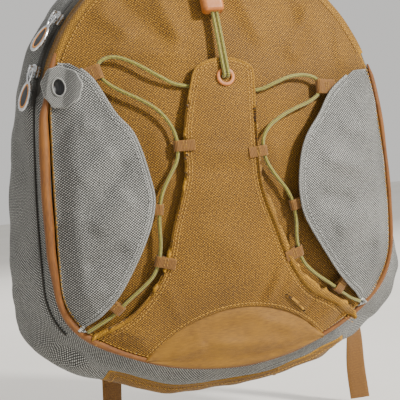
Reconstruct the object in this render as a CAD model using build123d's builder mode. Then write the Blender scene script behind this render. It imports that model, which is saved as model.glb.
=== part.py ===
"""Hydration pack: a clamshell day pack with laced side pockets and a water reservoir inside.

Frame: +Z up, the wearer's side at +Y, the front at -Y. The origin is the middle of the haul loop,
where a hook carries the pack. All sizes are millimetres.
"""
from build123d import *
import os
from math import atan2, cos, degrees, pi, radians, sin, sqrt

os.makedirs("parts", exist_ok=True)

# ---- driving dimensions ------------------------------------------------------------------------
arch_z = -180.0            # height of the centre that the top arch of every outline is struck from
crown_y = -138.0           # foremost point of the domed front
dome_radius = 450.0        # radius of the domed front
dome_z = -210.0            # height of the dome's centre
seam_y = -94.0             # depth of the seam between the front and the side gusset
shoulder_y = -74.0         # end of the slanted zip band
belly_y = -48.0            # widest section of the gusset
wall = 3.0                 # lined, padded gusset wall
fabric = 2.5               # lined, padded panel
piping_width = 6.0

# outlines: arch radius, half width, height of the widest point, corner radius, bottom height
front_outline = (142.0, 147.0, -300.0, 62.0, -388.0)
shoulder_outline = (154.0, 163.0, -312.0, 60.0, -403.0)
belly_outline = (160.0, 176.0, -325.0, 60.0, -416.0)
back_outline = (146.0, 154.0, -320.0, 58.0, -412.0)

piping_top_z = -135.0      # the piping ends here, the zip facing goes on over the arch
crescent_radius = 101.0    # upper edge of the smooth lower panel
crescent_z = -438.0

tongue_gap = 4.2           # the laces' upper ends lie under the tongue
tongue_thickness = 3.0
pocket_gap = 9.0           # room inside a side pocket
pocket_wall = 2.5

bungee_radius = 1.5
webbing_thickness = 1.6
webbing_width = 20.0

lock_axis_lift = 9.0       # height of the double bungee over the front panel
strand_x = 1.7             # the double bungee's strands stand at plus and minus this
lock_length = 24.0

grommet_centre = (0.0, -150.0)
grommet_bore = 4.4
grommet_rim = 7.0

slider_length = 12.0
slider_width = 9.0
slider_height = 4.6
pull_length = 34.0

dome_y = crown_y + dome_radius
dome_centre = (0, dome_y, dome_z)


# ---- shared geometry ---------------------------------------------------------------------------
def grown(section, margin):
    """The same outline, set out by a margin."""
    arch_r, half_width, widest_z, corner_r, bottom_z = section
    return (arch_r + margin, half_width + margin, widest_z, corner_r + margin, bottom_z - margin)


def outline(section, mode=Mode.ADD):
    """Face of a pack outline: six arcs, each tangent to the next."""
    arch_r, half_width, widest_z, corner_r, bottom_z = section
    drop = arch_z - widest_z
    side_r = (half_width**2 + drop**2 - arch_r**2) / (2 * (half_width - arch_r))
    side_angle = degrees(atan2(drop, side_r - half_width))
    depth = widest_z - bottom_z
    corner_x = half_width - corner_r
    bottom_r = (corner_x**2 + depth**2 - corner_r**2) / (2 * (depth - corner_r))
    corner_angle = degrees(atan2(bottom_r - depth, corner_x))
    with BuildLine() as arcs:
        CenterArc((0, arch_z), arch_r, side_angle, 180 - 2 * side_angle)
        CenterArc((side_r - half_width, widest_z), side_r, 180 - side_angle, side_angle)
        CenterArc((-corner_x, widest_z), corner_r, 180, corner_angle)
        CenterArc((0, bottom_z + bottom_r), bottom_r, 180 + corner_angle, 180 - 2 * corner_angle)
        CenterArc((corner_x, widest_z), corner_r, -corner_angle, corner_angle)
        CenterArc((half_width - side_r, widest_z), side_r, 0, side_angle)
    make_face(arcs.edges(), mode=mode)


def on_dome(x, z, lift=0.0):
    """Point over the domed front, at a height above its face."""
    y = dome_y - sqrt((dome_radius + lift) ** 2 - x**2 - (z - dome_z) ** 2)
    return Vector(x, y, z)


def between_domes(low, high):
    """Cuts the part in progress down to the layer between two heights over the front panel's face."""
    with Locations(dome_centre):
        Sphere(dome_radius + high, mode=Mode.INTERSECT)
        Sphere(dome_radius + low, mode=Mode.SUBTRACT)


def dome_plane(x, z, lift=0.0):
    """Plane tangent to the domed front, facing out; its x is the pack's x."""
    point = on_dome(x, z, lift)
    return Plane(point, x_dir=(1, 0, 0), z_dir=point - Vector(dome_centre))


def front_plane(y):
    """Sketch plane facing the front; its x and y are the pack's x and z."""
    return Plane.XZ.offset(-y)


def back_plane(y):
    """Sketch plane that is extruded towards the wearer."""
    return Plane((0, y, 0), x_dir=(-1, 0, 0), z_dir=(0, 1, 0))


# ---- front ---------------------------------------------------------------------------------------
with BuildPart() as front_panel:
    with BuildSketch(front_plane(-90)):
        outline(grown(front_outline, -piping_width / 2 - 0.2))
        with Locations((-4, crescent_z)):
            Circle(crescent_radius + 0.1, mode=Mode.SUBTRACT)
    extrude(amount=60)
    between_domes(-fabric, 0)

with BuildPart() as lower_panel:
    with BuildSketch(front_plane(-90)):
        outline(grown(front_outline, -piping_width / 2 - 0.2))
        with Locations((-4, crescent_z)):
            Circle(crescent_radius - 0.1, mode=Mode.INTERSECT)
    extrude(amount=60)
    between_domes(-fabric, 0)


def edge_ring(top, bottom, high):
    """Band round the front panel between two heights, as deep as the seam."""
    with BuildPart() as ring:
        with BuildSketch(front_plane(seam_y - 0.2)):
            outline(grown(front_outline, piping_width / 2))
            outline(grown(front_outline, -piping_width / 2), mode=Mode.SUBTRACT)
            with Locations((0, (top + bottom) / 2)):
                Rectangle(400, top - bottom, mode=Mode.INTERSECT)
        extrude(amount=40)
        with Locations(dome_centre):
            Sphere(dome_radius + high, mode=Mode.INTERSECT)
    return ring


piping = edge_ring(piping_top_z, -400, 3.0)
zip_facing = edge_ring(0, piping_top_z + 0.3, 1.0)

tongue_left = [(-26, -146), (-36, -178), (-40, -203), (-42, -228),
               (-54, -263), (-64, -298), (-88, -330), (-124, -350)]
tongue_right = [(108, -365), (83, -346), (57, -329), (40, -303),
                (28, -270), (19, -238), (19, -203), (24, -150)]

with BuildPart() as tongue_flap:
    with BuildSketch(front_plane(-90)):
        with BuildLine():
            left = Spline(*tongue_left)
            right = Spline(*tongue_right)
            ThreePointArc(right @ 1, (0, -135), left @ 0)
            Polyline(left @ 1, (-100, -380), (100, -380), right @ 0)
        make_face()
        outline(grown(front_outline, -piping_width / 2 - 0.5), mode=Mode.INTERSECT)
        with Locations((-4, crescent_z)):
            Circle(crescent_radius, mode=Mode.SUBTRACT)
    extrude(amount=60)
    between_domes(tongue_gap, tongue_gap + tongue_thickness)
    # sewn lower edge, down to the front panel
    with BuildSketch(front_plane(-90)):
        with Locations((-4, crescent_z)):
            Circle(crescent_radius + 6)
            Circle(crescent_radius, mode=Mode.SUBTRACT)
        outline(grown(front_outline, -piping_width / 2 - 0.5), mode=Mode.INTERSECT)
    extrude(amount=60)
    with Locations(dome_centre):
        Sphere(dome_radius + tongue_gap + tongue_thickness, mode=Mode.INTERSECT)
        Sphere(dome_radius + 0.1, mode=Mode.SUBTRACT)
    with Locations(dome_plane(*grommet_centre)):
        Cylinder(grommet_bore + 0.8, 40, mode=Mode.SUBTRACT)

pocket_left_edge = [(-120, -127), (-106, -142), (-93, -170), (-80, -190), (-72, -225),
                    (-71, -246), (-80, -272), (-98, -305), (-114, -325), (-136, -337)]
pocket_right_edge = [(116, -153), (92, -168), (77, -187), (62, -205), (54, -228),
                     (52, -250), (57, -272), (78, -308), (93, -328), (118, -350)]


def side_pocket(edge, side, port=None):
    """Crescent pocket, sewn along the piping and open along its inner edge."""
    with BuildPart() as pocket:
        with BuildSketch(front_plane(-80)):
            with BuildLine():
                inner = Spline(*edge)
                Polyline(inner @ 1, (side * 170, -360), (side * 170, -110), inner @ 0)
            make_face()
            outline(grown(front_outline, -piping_width / 2 - 0.5), mode=Mode.INTERSECT)
        extrude(amount=80)
        between_domes(0.2, pocket_gap + pocket_wall)
    with BuildPart() as hollow:
        with BuildSketch(front_plane(-80)):
            outline(grown(front_outline, -piping_width / 2 - 4))
        extrude(amount=80)
        with Locations(dome_centre):
            Sphere(dome_radius + pocket_gap, mode=Mode.INTERSECT)
    with BuildPart() as result:
        add(pocket.part)
        add(hollow.part, mode=Mode.SUBTRACT)
        if port:
            with BuildSketch(front_plane(-80)):
                with Locations(port):
                    Ellipse(5, 7)
            extrude(amount=80, mode=Mode.SUBTRACT)
    return result


port_centre = (-124, -152)
pocket_left = side_pocket(pocket_left_edge, -1, port_centre)
pocket_right = side_pocket(pocket_right_edge, 1)


# ---- side gusset, base and back ------------------------------------------------------------------
def gusset_solid(margin):
    """Solid of the pack's flared sides, set out by a margin."""
    sections = (
        (seam_y, grown(front_outline, 0.5)),
        (shoulder_y, shoulder_outline),
        (belly_y, belly_outline),
        (0.0, back_outline),
    )
    with BuildPart() as solid:
        for y, section in sections:
            with BuildSketch(front_plane(y)):
                outline(grown(section, margin))
        loft(ruled=True)
    return solid


base_half_width = 114.0
base_top_z = -401.0
outer = gusset_solid(0)
inner = gusset_solid(-wall)

with BuildPart() as side_gusset:
    add(outer.part)
    add(inner.part, mode=Mode.SUBTRACT)
    with Locations((0, -34, base_top_z - 20)):
        Box(2 * base_half_width, 68, 40, mode=Mode.SUBTRACT)

with BuildPart() as base_panel:
    add(outer.part)
    add(inner.part, mode=Mode.SUBTRACT)
    with Locations((0, -34, base_top_z - 20)):
        Box(2 * base_half_width, 68, 40, mode=Mode.INTERSECT)

with BuildPart() as back_panel:
    with BuildSketch(back_plane(0.1)):
        outline(back_outline)
    extrude(amount=4)

with BuildPart() as frame_sheet:
    with BuildSketch(back_plane(-2.3)):
        outline(grown(back_outline, -wall - 3))
    extrude(amount=1.5)


def back_cushion(x, z, width, height, thick):
    with BuildPart() as cushion:
        with BuildSketch(back_plane(4.3)):
            with Locations((-x, z)):
                RectangleRounded(width, height, 18)
        extrude(amount=thick)
        fillet(cushion.faces().sort_by(Axis.Y)[-1].edges(), 5)
    return cushion


back_pad_left = back_cushion(-66, -205, 84, 190, 11)
back_pad_right = back_cushion(66, -205, 84, 190, 11)
lumbar_pad = back_cushion(0, -352, 168, 62, 12)

haul_inner = 22.0
haul_band = 2.0

with BuildPart() as haul_loop:
    with BuildSketch(front_plane(10)):
        with Locations((0, -haul_inner)):
            Circle(haul_inner + haul_band)
            Circle(haul_inner, mode=Mode.SUBTRACT)
            with Locations((0, -haul_inner)):
                Rectangle(80, 2 * haul_inner, mode=Mode.SUBTRACT)
        for side in (-1, 1):
            with Locations((side * (haul_inner + haul_band / 2), -26.5)):
                Rectangle(haul_band, 10)
    extrude(amount=20)
    with Locations((0, 5.2, -38)):
        Box(58, 2, 22)

# ---- reservoir, inside against the back ------------------------------------------------------------
with BuildPart() as reservoir:
    with BuildSketch(back_plane(-26)):
        with Locations((0, -228)):
            RectangleRounded(176, 250, 30)
    extrude(amount=18)
    fillet(reservoir.faces().filter_by(Axis.Y).edges(), 6)

cap_centre = (0.0, -26.0, -150.0)
with BuildPart() as reservoir_neck:
    with Locations(Plane(cap_centre, x_dir=(1, 0, 0), z_dir=(0, -1, 0))):
        Cylinder(33, 3.6, align=(Align.CENTER, Align.CENTER, Align.MIN))
        Cylinder(26, 20, mode=Mode.SUBTRACT)

with BuildPart() as reservoir_cap:
    with BuildSketch(Plane(Vector(cap_centre) + Vector(0, -3.9, 0), x_dir=(1, 0, 0), z_dir=(0, -1, 0))):
        Circle(33)
        with PolarLocations(33.5, 12):
            Circle(3, mode=Mode.SUBTRACT)
    extrude(amount=5)
    with Locations(Plane(Vector(cap_centre) + Vector(0, -0.4, 0), x_dir=(1, 0, 0), z_dir=(0, -1, 0))):
        Cylinder(25.6, 4, align=(Align.CENTER, Align.CENTER, Align.MIN))

with BuildPart() as reservoir_outlet:
    with BuildSketch(Plane.XY.offset(-353.1)):
        with Locations((0, -17)):
            Circle(6)
    extrude(amount=-16)
    with Locations((12, -17, -364)):
        Cylinder(4, 24, rotation=(0, 90, 0))
    with Locations((12, -17, -364)):
        Cylinder(2.6, 24.2, rotation=(0, 90, 0), mode=Mode.SUBTRACT)

with BuildPart() as reservoir_hanger:
    with Locations((0, -15, -84)):
        Box(22, 1.8, 38)
    with Locations((0, -15, -66)):
        Box(60, 1.8, 8)

with BuildPart() as reservoir_sleeve:
    with BuildSketch(back_plane(-40)):
        outline(grown(back_outline, -wall - 3))
        with Locations((0, -290)):
            Rectangle(400, 330, mode=Mode.INTERSECT)
    extrude(amount=1.2)

# ---- main zip: tape, two sliders and their pulls ----------------------------------------------------
tape_low = 0.15
tape_high = 1.5
with BuildPart() as main_zip:
    add(gusset_solid(tape_high).part)
    add(gusset_solid(tape_low).part, mode=Mode.SUBTRACT)
    with Locations((0, -84, -200)):
        Box(420, 14, 480, mode=Mode.INTERSECT)
    with Locations((200, 0, -345)):
        Box(400, 400, 400, mode=Mode.SUBTRACT)
    with Locations((-200, 0, -545)):
        Box(401, 400, 400, mode=Mode.SUBTRACT)

zip_mid_y = -84.0
flare = (shoulder_outline[0] - front_outline[0] - 0.5) / (shoulder_y - seam_y)
zip_radius = front_outline[0] + 0.5 + flare * (zip_mid_y - seam_y)


def zip_plane(angle, height):
    """Plane on the zip band; the angle is from the top, towards +X. Its x runs down the left side."""
    radial = Vector(sin(radians(angle)), 0, cos(radians(angle)))
    normal = (radial + Vector(0, -flare, 0)).normalized()
    origin = Vector(0, zip_mid_y, arch_z) + radial * zip_radius + normal * height
    return Plane(origin, x_dir=(-cos(radians(angle)), 0, sin(radians(angle))), z_dir=normal)


slider_base = tape_high + 0.35
bail_height = slider_base + slider_height + 1.7
upper_slider_angle = -52.0
lower_slider_angle = -70.0


def zip_slider(angle):
    """Two plates joined by a diamond, with a bail over the top for the pull."""
    with BuildPart() as slider:
        with BuildSketch(zip_plane(angle, slider_base)):
            SlotOverall(slider_length, slider_width)
        extrude(amount=slider_height)
        with Locations(zip_plane(angle, slider_base + slider_height / 2)):
            for side in (-1, 1):
                with Locations((0, side * slider_width / 2, 0)):
                    Box(slider_length + 1, 3.2, 1.4, mode=Mode.SUBTRACT)
        with Locations(zip_plane(angle, slider_base + slider_height - 0.1)):
            Box(8, 2.4, 4.2, align=(Align.CENTER, Align.CENTER, Align.MIN))
        with Locations(zip_plane(angle, bail_height)):
            Box(5.4, 3, 2.6, mode=Mode.SUBTRACT)
    return slider


def zip_pull(angle):
    """Clevis bar through the bail, a short neck and a teardrop frame."""
    with BuildPart() as pull:
        with Locations(zip_plane(angle, bail_height)):
            Cylinder(0.9, 6.4, rotation=(90, 0, 0))
            for side in (-1, 1):
                with Locations((3.2, side * 2.5, 0)):
                    Box(8.2, 1.4, 1.8)
            with Locations((9, 0, 0)):
                Box(5, 6.4, 1.8)
        with BuildSketch(zip_plane(angle, bail_height - 1.0)):
            with Locations((pull_length - 12.5, 0)):
                Ellipse(12.5, 6.8)
                Ellipse(9.5, 4.4, mode=Mode.SUBTRACT)
            with Locations((9.5, 0)):
                Rectangle(4, 7)
        extrude(amount=2.0)
    return pull


def pull_inlay(angle):
    """Soft moulded inlay that fills the teardrop."""
    with BuildPart() as inlay:
        with BuildSketch(zip_plane(angle, bail_height - 0.9)):
            with Locations((pull_length - 12.5, 0)):
                Ellipse(9.45, 4.35)
        extrude(amount=1.8)
    return inlay


# ---- grommet, double bungee, cord lock ---------------------------------------------------------------
with BuildPart() as grommet:
    with Locations(dome_plane(*grommet_centre, tongue_gap + tongue_thickness + 0.05)):
        Cylinder(grommet_rim, 2.0, align=(Align.CENTER, Align.CENTER, Align.MIN))
    with Locations(dome_plane(*grommet_centre, tongue_gap)):
        Cylinder(grommet_bore + 0.6, 3.4, align=(Align.CENTER, Align.CENTER, Align.MIN))
    with Locations(dome_plane(*grommet_centre)):
        Cylinder(grommet_bore, 40, mode=Mode.SUBTRACT)

with BuildPart() as grommet_washer:
    with Locations(dome_plane(*grommet_centre, tongue_gap - 1.2)):
        Cylinder(grommet_rim - 0.5, 1.1, align=(Align.CENTER, Align.CENTER, Align.MIN))
        Cylinder(grommet_bore, 10, mode=Mode.SUBTRACT)


def bungee(points):
    """Round cord on straight runs joined by arcs as large as the runs allow."""
    radii = []
    for before, here, after in zip(points, points[1:], points[2:]):
        turn = (here - before).get_angle(after - here)
        shorter = min((here - before).length, (after - here).length)
        radii.append(0.45 * shorter / sin(radians(turn / 2)) * cos(radians(turn / 2)))
    with BuildPart() as cord:
        with BuildLine() as route:
            FilletPolyline(*points, radius=radii)
        line = route.wires()[0]
        with BuildSketch(Plane(line @ 0, z_dir=line % 0)):
            Circle(bungee_radius)
        sweep(path=line)
    expected = pi * bungee_radius**2 * line.length
    ratio = cord.part.volume / expected
    print(f"cord {line.length:.1f} mm, tightest {min(radii):.1f} mm, volume {ratio:.4f}")
    print("  radii", " ".join(f"{r:.0f}" for r in radii))
    return cord


draw_top_z = -60.0
draw_top = on_dome(0, draw_top_z, lock_axis_lift)
draw_bend = on_dome(0, grommet_centre[1], 12.0)
draw_end = on_dome(0, grommet_centre[1], 3.2)
draw_direction = (draw_bend - draw_top).normalized()


def draw_strand(side):
    shift = Vector(side * strand_x, 0, 0)
    return bungee([draw_top + shift, draw_bend + shift, draw_end + shift])


draw_strand_left = draw_strand(-1)
draw_strand_right = draw_strand(1)


def lock_plane(distance):
    """Plane across the double bungee, a distance down from its top; its y faces the front."""
    return Plane(draw_top + draw_direction * distance, x_dir=(1, 0, 0), z_dir=draw_direction)


with BuildPart() as cord_anchor:
    with Locations(lock_plane(-6.2)):
        Box(16, 8, 12)
    with Locations(dome_centre):
        Sphere(dome_radius + 0.2, mode=Mode.SUBTRACT)

lock_centre = 26.0
plunger_radius = 3.6
plunger_offset = -5.0      # the plunger crosses the upper half of the lock
lock_left = -9.7
lock_right = 8.0
bore_end = -8.5

with BuildPart() as lock_body:
    with BuildSketch(lock_plane(lock_centre - lock_length / 2)):
        with Locations(((lock_left + lock_right) / 2, 0)):
            RectangleRounded(lock_right - lock_left, 11, 3.5)
    extrude(amount=lock_length)
    fillet(lock_body.faces().sort_by(Axis.Z)[0].edges(), 3.0)
    with Locations(lock_plane(lock_centre)):
        for side in (-1, 1):
            with Locations((side * strand_x, 0, 0)):
                Cylinder(bungee_radius + 0.15, 60, mode=Mode.SUBTRACT)
        with Locations(((bore_end + 20) / 2, 0, plunger_offset)):
            Cylinder(plunger_radius + 0.1, 20 - bore_end, rotation=(0, 90, 0), mode=Mode.SUBTRACT)

with BuildPart() as lock_plunger:
    with Locations(lock_plane(lock_centre + plunger_offset)):
        with Locations((3.0, 0, 0)):
            Cylinder(plunger_radius, 14.8, rotation=(0, 90, 0))
        with Locations((1.0, 0, 0)):
            Box(8.8, 2 * bungee_radius + 0.6, 20, mode=Mode.SUBTRACT)

with BuildPart() as lock_spring:
    with Locations(lock_plane(lock_centre + plunger_offset)):
        with Locations((-7.45, 0, 0)):
            Cylinder(2.8, 1.8, rotation=(0, 90, 0))
            Cylinder(2.0, 2.0, rotation=(0, 90, 0), mode=Mode.SUBTRACT)

# ---- laces and the loops that hold them ---------------------------------------------------------------
lace_left_route = [
    (-20, -155, 2.2), (-37, -154.5, 2.4), (-54, -144, 7), (-72, -131, 7), (-88, -124, 7), (-101, -130, 7),
    (-98, -143, 7), (-85, -153, 7), (-69, -162, 7), (-55, -173, 7), (-45.5, -191, 7), (-46, -211, 7),
    (-55, -224, 7), (-63.5, -239, 7), (-66.5, -259, 7), (-66, -280, 7), (-71.5, -300, 7), (-84, -311, 7),
    (-96, -320, 7), (-108, -331, 7), (-119, -337, 6), (-127, -342, 4.6),
]
lace_right_route = [
    (9, -162, 2.2), (28, -163.5, 2.4), (42, -158, 7), (58, -153, 7), (73, -153.5, 7), (83, -158.5, 7),
    (82, -170, 7), (70, -176.5, 7), (57, -180, 7), (42, -186, 7), (30, -193.5, 7), (24, -204, 7),
    (25, -219, 7), (33, -233, 7), (44.5, -248, 7), (49, -268, 7), (47.5, -287, 7), (52, -306, 7),
    (64, -318, 7), (80, -329.5, 7), (93, -339.5, 6), (103, -346.5, 5), (111.5, -350, 4.2),
]

# run of the route that each loop sits on, and the side its sewn tail goes to
left_loops = ((10, 1), (13, -1), (15, 1), (18, -1))
right_loops = ((11, -1), (14, 1), (16, -1), (19, 1))
left_tab = ((5, -1),)
right_tab = ((5, 1),)


def route_points(route):
    return [on_dome(*point) for point in route]


def lace_loops(route, places):
    """Folded webbing loops: an eye round the lace and a sewn tail."""
    points = route_points(route)
    with BuildPart() as loops:
        for index, side in places:
            start, end = points[index], points[index + 1]
            centre = (start + end) * 0.5
            along = (end - start).normalized()
            normal = (centre - Vector(dome_centre)).normalized()
            across = normal.cross(along).normalized()
            with Locations(Plane(centre, x_dir=across, z_dir=along)):
                Cylinder(3.6, 8)
                with Locations((side * 8.0, 0.9, 0)):
                    Box(12, 1.2, 8)
                Cylinder(2.5, 10, mode=Mode.SUBTRACT)
    return loops


lace_left = bungee(route_points(lace_left_route))
lace_right = bungee(route_points(lace_right_route))
loops_left = lace_loops(lace_left_route, left_loops)
loops_right = lace_loops(lace_right_route, right_loops)
pocket_tab_left = lace_loops(lace_left_route, left_tab)
pocket_tab_right = lace_loops(lace_right_route, right_tab)

# ---- shoulder straps, ladder locks, lower webbing -----------------------------------------------------
right_strap_line = [(40, -54), (72, -140), (112, -225), (150, -302)]
left_strap_line = [(-40, -54), (-58, -140), (-74, -225), (-84, -302)]
strap_half_width = 26.0
strap_end_z = -304.0
strap_outer_y = 44.0


def shoulder_strap(centre_line):
    """Padded strap: its front outline and its side profile, cut through each other."""
    with BuildPart() as profile:
        with BuildSketch(Plane.YZ.offset(-200)):
            with BuildLine():
                near = Spline((6.6, -64), (24, -100), (34, -160), (34, -240), (25, strap_end_z))
                far = Spline((35, strap_end_z), (strap_outer_y, -240), (strap_outer_y, -160),
                             (33, -84), (6.6, -53))
                Line(near @ 1, far @ 0)
                Line(far @ 1, near @ 0)
            make_face()
        extrude(amount=400)
    with BuildPart() as strap:
        with BuildSketch(back_plane(0)):
            with BuildLine():
                edges = []
                for side in (-1, 1):
                    edges.append([(-x + side * strap_half_width, z) for x, z in centre_line])
                first = Spline(*edges[0])
                second = Spline(*reversed(edges[1]))
                Line(first @ 1, second @ 0)
                Line(second @ 1, first @ 0)
            make_face()
        extrude(amount=80)
        add(profile.part, mode=Mode.INTERSECT)
    return strap


strap_left = shoulder_strap(left_strap_line)
strap_right = shoulder_strap(right_strap_line)

lock_bar_y = 29.0
ladder_z = -325.0
right_ladder_x = 158.0
left_ladder_x = -88.0


def ladder_lock(x):
    """Flat three-bar buckle with two webbing slots."""
    with BuildPart() as ladder:
        with Locations((x, lock_bar_y, ladder_z)):
            Box(28, 4, 26)
        fillet(ladder.edges().filter_by(Axis.Y), 3)
        with Locations((x, lock_bar_y, ladder_z + 6.2), (x, lock_bar_y, ladder_z - 4.8)):
            Box(21.5, 6, 4.5, mode=Mode.SUBTRACT)
    return ladder


def strap_keeper(x):
    """Webbing from under the pad to the ladder lock's upper bar."""
    with BuildPart() as keeper:
        with Locations((x, lock_bar_y + 3.1, ladder_z + 13.8)):
            Box(20, webbing_thickness, 13.6)
    return keeper


def webbing_tail(x):
    """Loose end that hangs from the ladder lock."""
    with BuildPart() as tail:
        with Locations((x, lock_bar_y + 3.2, -400)):
            Box(webbing_width, webbing_thickness, 140)
    return tail


def lower_webbing(x, anchor_x):
    """Webbing from the ladder lock to its anchor at the pack's lower corner."""
    start = Vector(x, lock_bar_y - 4.6, ladder_z - 10)
    end = Vector(anchor_x, 11.0, -366)
    with BuildPart() as strap:
        with BuildSketch(Plane(start, x_dir=(1, 0, 0), z_dir=end - start)):
            Rectangle(webbing_width, webbing_thickness)
        extrude(amount=(end - start).length)
    return strap


def corner_anchor(x):
    """Sewn patch that holds the lower webbing to the back panel."""
    with BuildPart() as patch:
        with Locations((x, 5.6, -372)):
            Box(26, 2.4, 22)
    return patch


# ---- sternum strap -------------------------------------------------------------------------------------
sternum_z = -190.0
sternum_y = 48.5
sternum_left_x = -68.0
sternum_right_x = 96.0
sternum_webbing = 15.0
buckle_x = 16.0


def sternum_slider(x):
    with BuildPart() as slider:
        with Locations((x, sternum_y, sternum_z)):
            Box(18, 7, 22)
        fillet(slider.edges().filter_by(Axis.Y), 2)
        with Locations((x, sternum_y, sternum_z)):
            Box(20, 2.4, sternum_webbing + 0.8, mode=Mode.SUBTRACT)
    return slider


def sternum_strap_half(start_x, end_x):
    with BuildPart() as half:
        with Locations(((start_x + end_x) / 2, sternum_y, sternum_z)):
            Box(end_x - start_x, webbing_thickness, sternum_webbing)
    return half


with BuildPart() as buckle_female:
    with Locations((buckle_x - 15, sternum_y, sternum_z)):
        Box(30, 9, 24)
    fillet(buckle_female.edges().filter_by(Axis.Y), 3)
    with Locations((buckle_x - 11, sternum_y, sternum_z)):
        Box(22.4, 4.6, 19, mode=Mode.SUBTRACT)

with BuildPart() as buckle_male:
    with Locations((buckle_x + 7.4, sternum_y, sternum_z)):
        Box(14, 8, 24)
    for side in (-1, 1):
        with Locations((buckle_x - 9.4, sternum_y, sternum_z + side * 7.2)):
            Box(20, 3.8, 3.4)
    with Locations((buckle_x - 8, sternum_y, sternum_z)):
        Box(17, 3.8, 3)

nodes = {
    "front_panel": front_panel,
    "lower_panel": lower_panel,
    "piping": piping,
    "zip_facing": zip_facing,
    "tongue_flap": tongue_flap,
    "pocket_left": pocket_left,
    "pocket_right": pocket_right,
    "side_gusset": side_gusset,
    "base_panel": base_panel,
    "back_panel": back_panel,
    "frame_sheet": frame_sheet,
    "back_pad_left": back_pad_left,
    "back_pad_right": back_pad_right,
    "lumbar_pad": lumbar_pad,
    "haul_loop": haul_loop,
    "reservoir": reservoir,
    "reservoir_neck": reservoir_neck,
    "reservoir_cap": reservoir_cap,
    "reservoir_outlet": reservoir_outlet,
    "reservoir_hanger": reservoir_hanger,
    "reservoir_sleeve": reservoir_sleeve,
    "main_zip": main_zip,
    "upper_slider": zip_slider(upper_slider_angle),
    "upper_pull": zip_pull(upper_slider_angle),
    "upper_pull_inlay": pull_inlay(upper_slider_angle),
    "lower_slider": zip_slider(lower_slider_angle),
    "lower_pull": zip_pull(lower_slider_angle),
    "lower_pull_inlay": pull_inlay(lower_slider_angle),
    "grommet": grommet,
    "grommet_washer": grommet_washer,
    "draw_strand_left": draw_strand_left,
    "draw_strand_right": draw_strand_right,
    "cord_anchor": cord_anchor,
    "lock_body": lock_body,
    "lock_plunger": lock_plunger,
    "lock_spring": lock_spring,
    "lace_left": lace_left,
    "lace_right": lace_right,
    "lace_loops_left": loops_left,
    "lace_loops_right": loops_right,
    "pocket_tab_left": pocket_tab_left,
    "pocket_tab_right": pocket_tab_right,
    "shoulder_strap_left": strap_left,
    "shoulder_strap_right": strap_right,
    "ladder_lock_left": ladder_lock(left_ladder_x),
    "ladder_lock_right": ladder_lock(right_ladder_x),
    "strap_keeper_left": strap_keeper(left_ladder_x),
    "strap_keeper_right": strap_keeper(right_ladder_x),
    "webbing_tail_left": webbing_tail(left_ladder_x),
    "webbing_tail_right": webbing_tail(right_ladder_x + 4),
    "lower_webbing_left": lower_webbing(left_ladder_x, -112),
    "lower_webbing_right": lower_webbing(right_ladder_x, 122),
    "corner_anchor_left": corner_anchor(-112),
    "corner_anchor_right": corner_anchor(122),
    "sternum_slider_left": sternum_slider(sternum_left_x),
    "sternum_slider_right": sternum_slider(sternum_right_x),
    "sternum_webbing_left": sternum_strap_half(sternum_left_x - 8, buckle_x - 30.1),
    "sternum_webbing_right": sternum_strap_half(buckle_x + 14.5, sternum_right_x + 24),
    "buckle_female": buckle_female,
    "buckle_male": buckle_male,
}
for name, builder in nodes.items():
    builder.part.label = name
    export_step(builder.part, f"parts/{name}.step")

for name, angle in (("upper", upper_slider_angle), ("lower", lower_slider_angle)):
    hinge = zip_plane(angle, bail_height)
    print(name, "pull hinge", hinge.origin, "axis", -hinge.y_dir)
print("lock axis", draw_direction, "cap", cap_centre)
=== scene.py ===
"""Looks of the hydration pack: fabric shells, piping, cords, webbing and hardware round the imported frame.

The shapes are worked out in millimetres in the frame's own axes and scaled to metres as each mesh is made.
"""
import math

import bmesh
import bpy
import numpy as np
from mathutils import Matrix, Vector, noise


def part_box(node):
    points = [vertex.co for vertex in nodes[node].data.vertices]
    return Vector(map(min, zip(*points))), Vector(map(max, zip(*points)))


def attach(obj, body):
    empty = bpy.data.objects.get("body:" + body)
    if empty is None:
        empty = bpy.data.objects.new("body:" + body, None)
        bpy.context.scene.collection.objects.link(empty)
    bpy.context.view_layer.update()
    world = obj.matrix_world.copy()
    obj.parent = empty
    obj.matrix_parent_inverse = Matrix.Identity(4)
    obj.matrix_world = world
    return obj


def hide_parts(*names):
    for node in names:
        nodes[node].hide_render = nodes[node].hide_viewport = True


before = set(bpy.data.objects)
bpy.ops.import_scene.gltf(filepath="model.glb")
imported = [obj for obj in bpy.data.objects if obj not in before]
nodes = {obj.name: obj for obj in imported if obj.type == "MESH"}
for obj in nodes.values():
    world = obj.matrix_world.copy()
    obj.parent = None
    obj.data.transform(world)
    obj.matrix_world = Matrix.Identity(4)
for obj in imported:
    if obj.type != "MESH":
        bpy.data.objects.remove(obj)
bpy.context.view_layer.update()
MM = 0.001

# ---- the pack's own dimensions, as in the part ---------------------------------------------------
ARCH_Z = -180.0              # centre of every outline's top arch
DOME_RADIUS = 450.0          # the front bulges as part of a sphere
DOME_Z = -210.0
DOME_Y = 312.0
SEAM_Y = -94.0               # depths of the outlines, from the front seam to the back
SHOULDER_Y = -74.0
BELLY_Y = -48.0
ZIP_Y = -84.0
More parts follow.
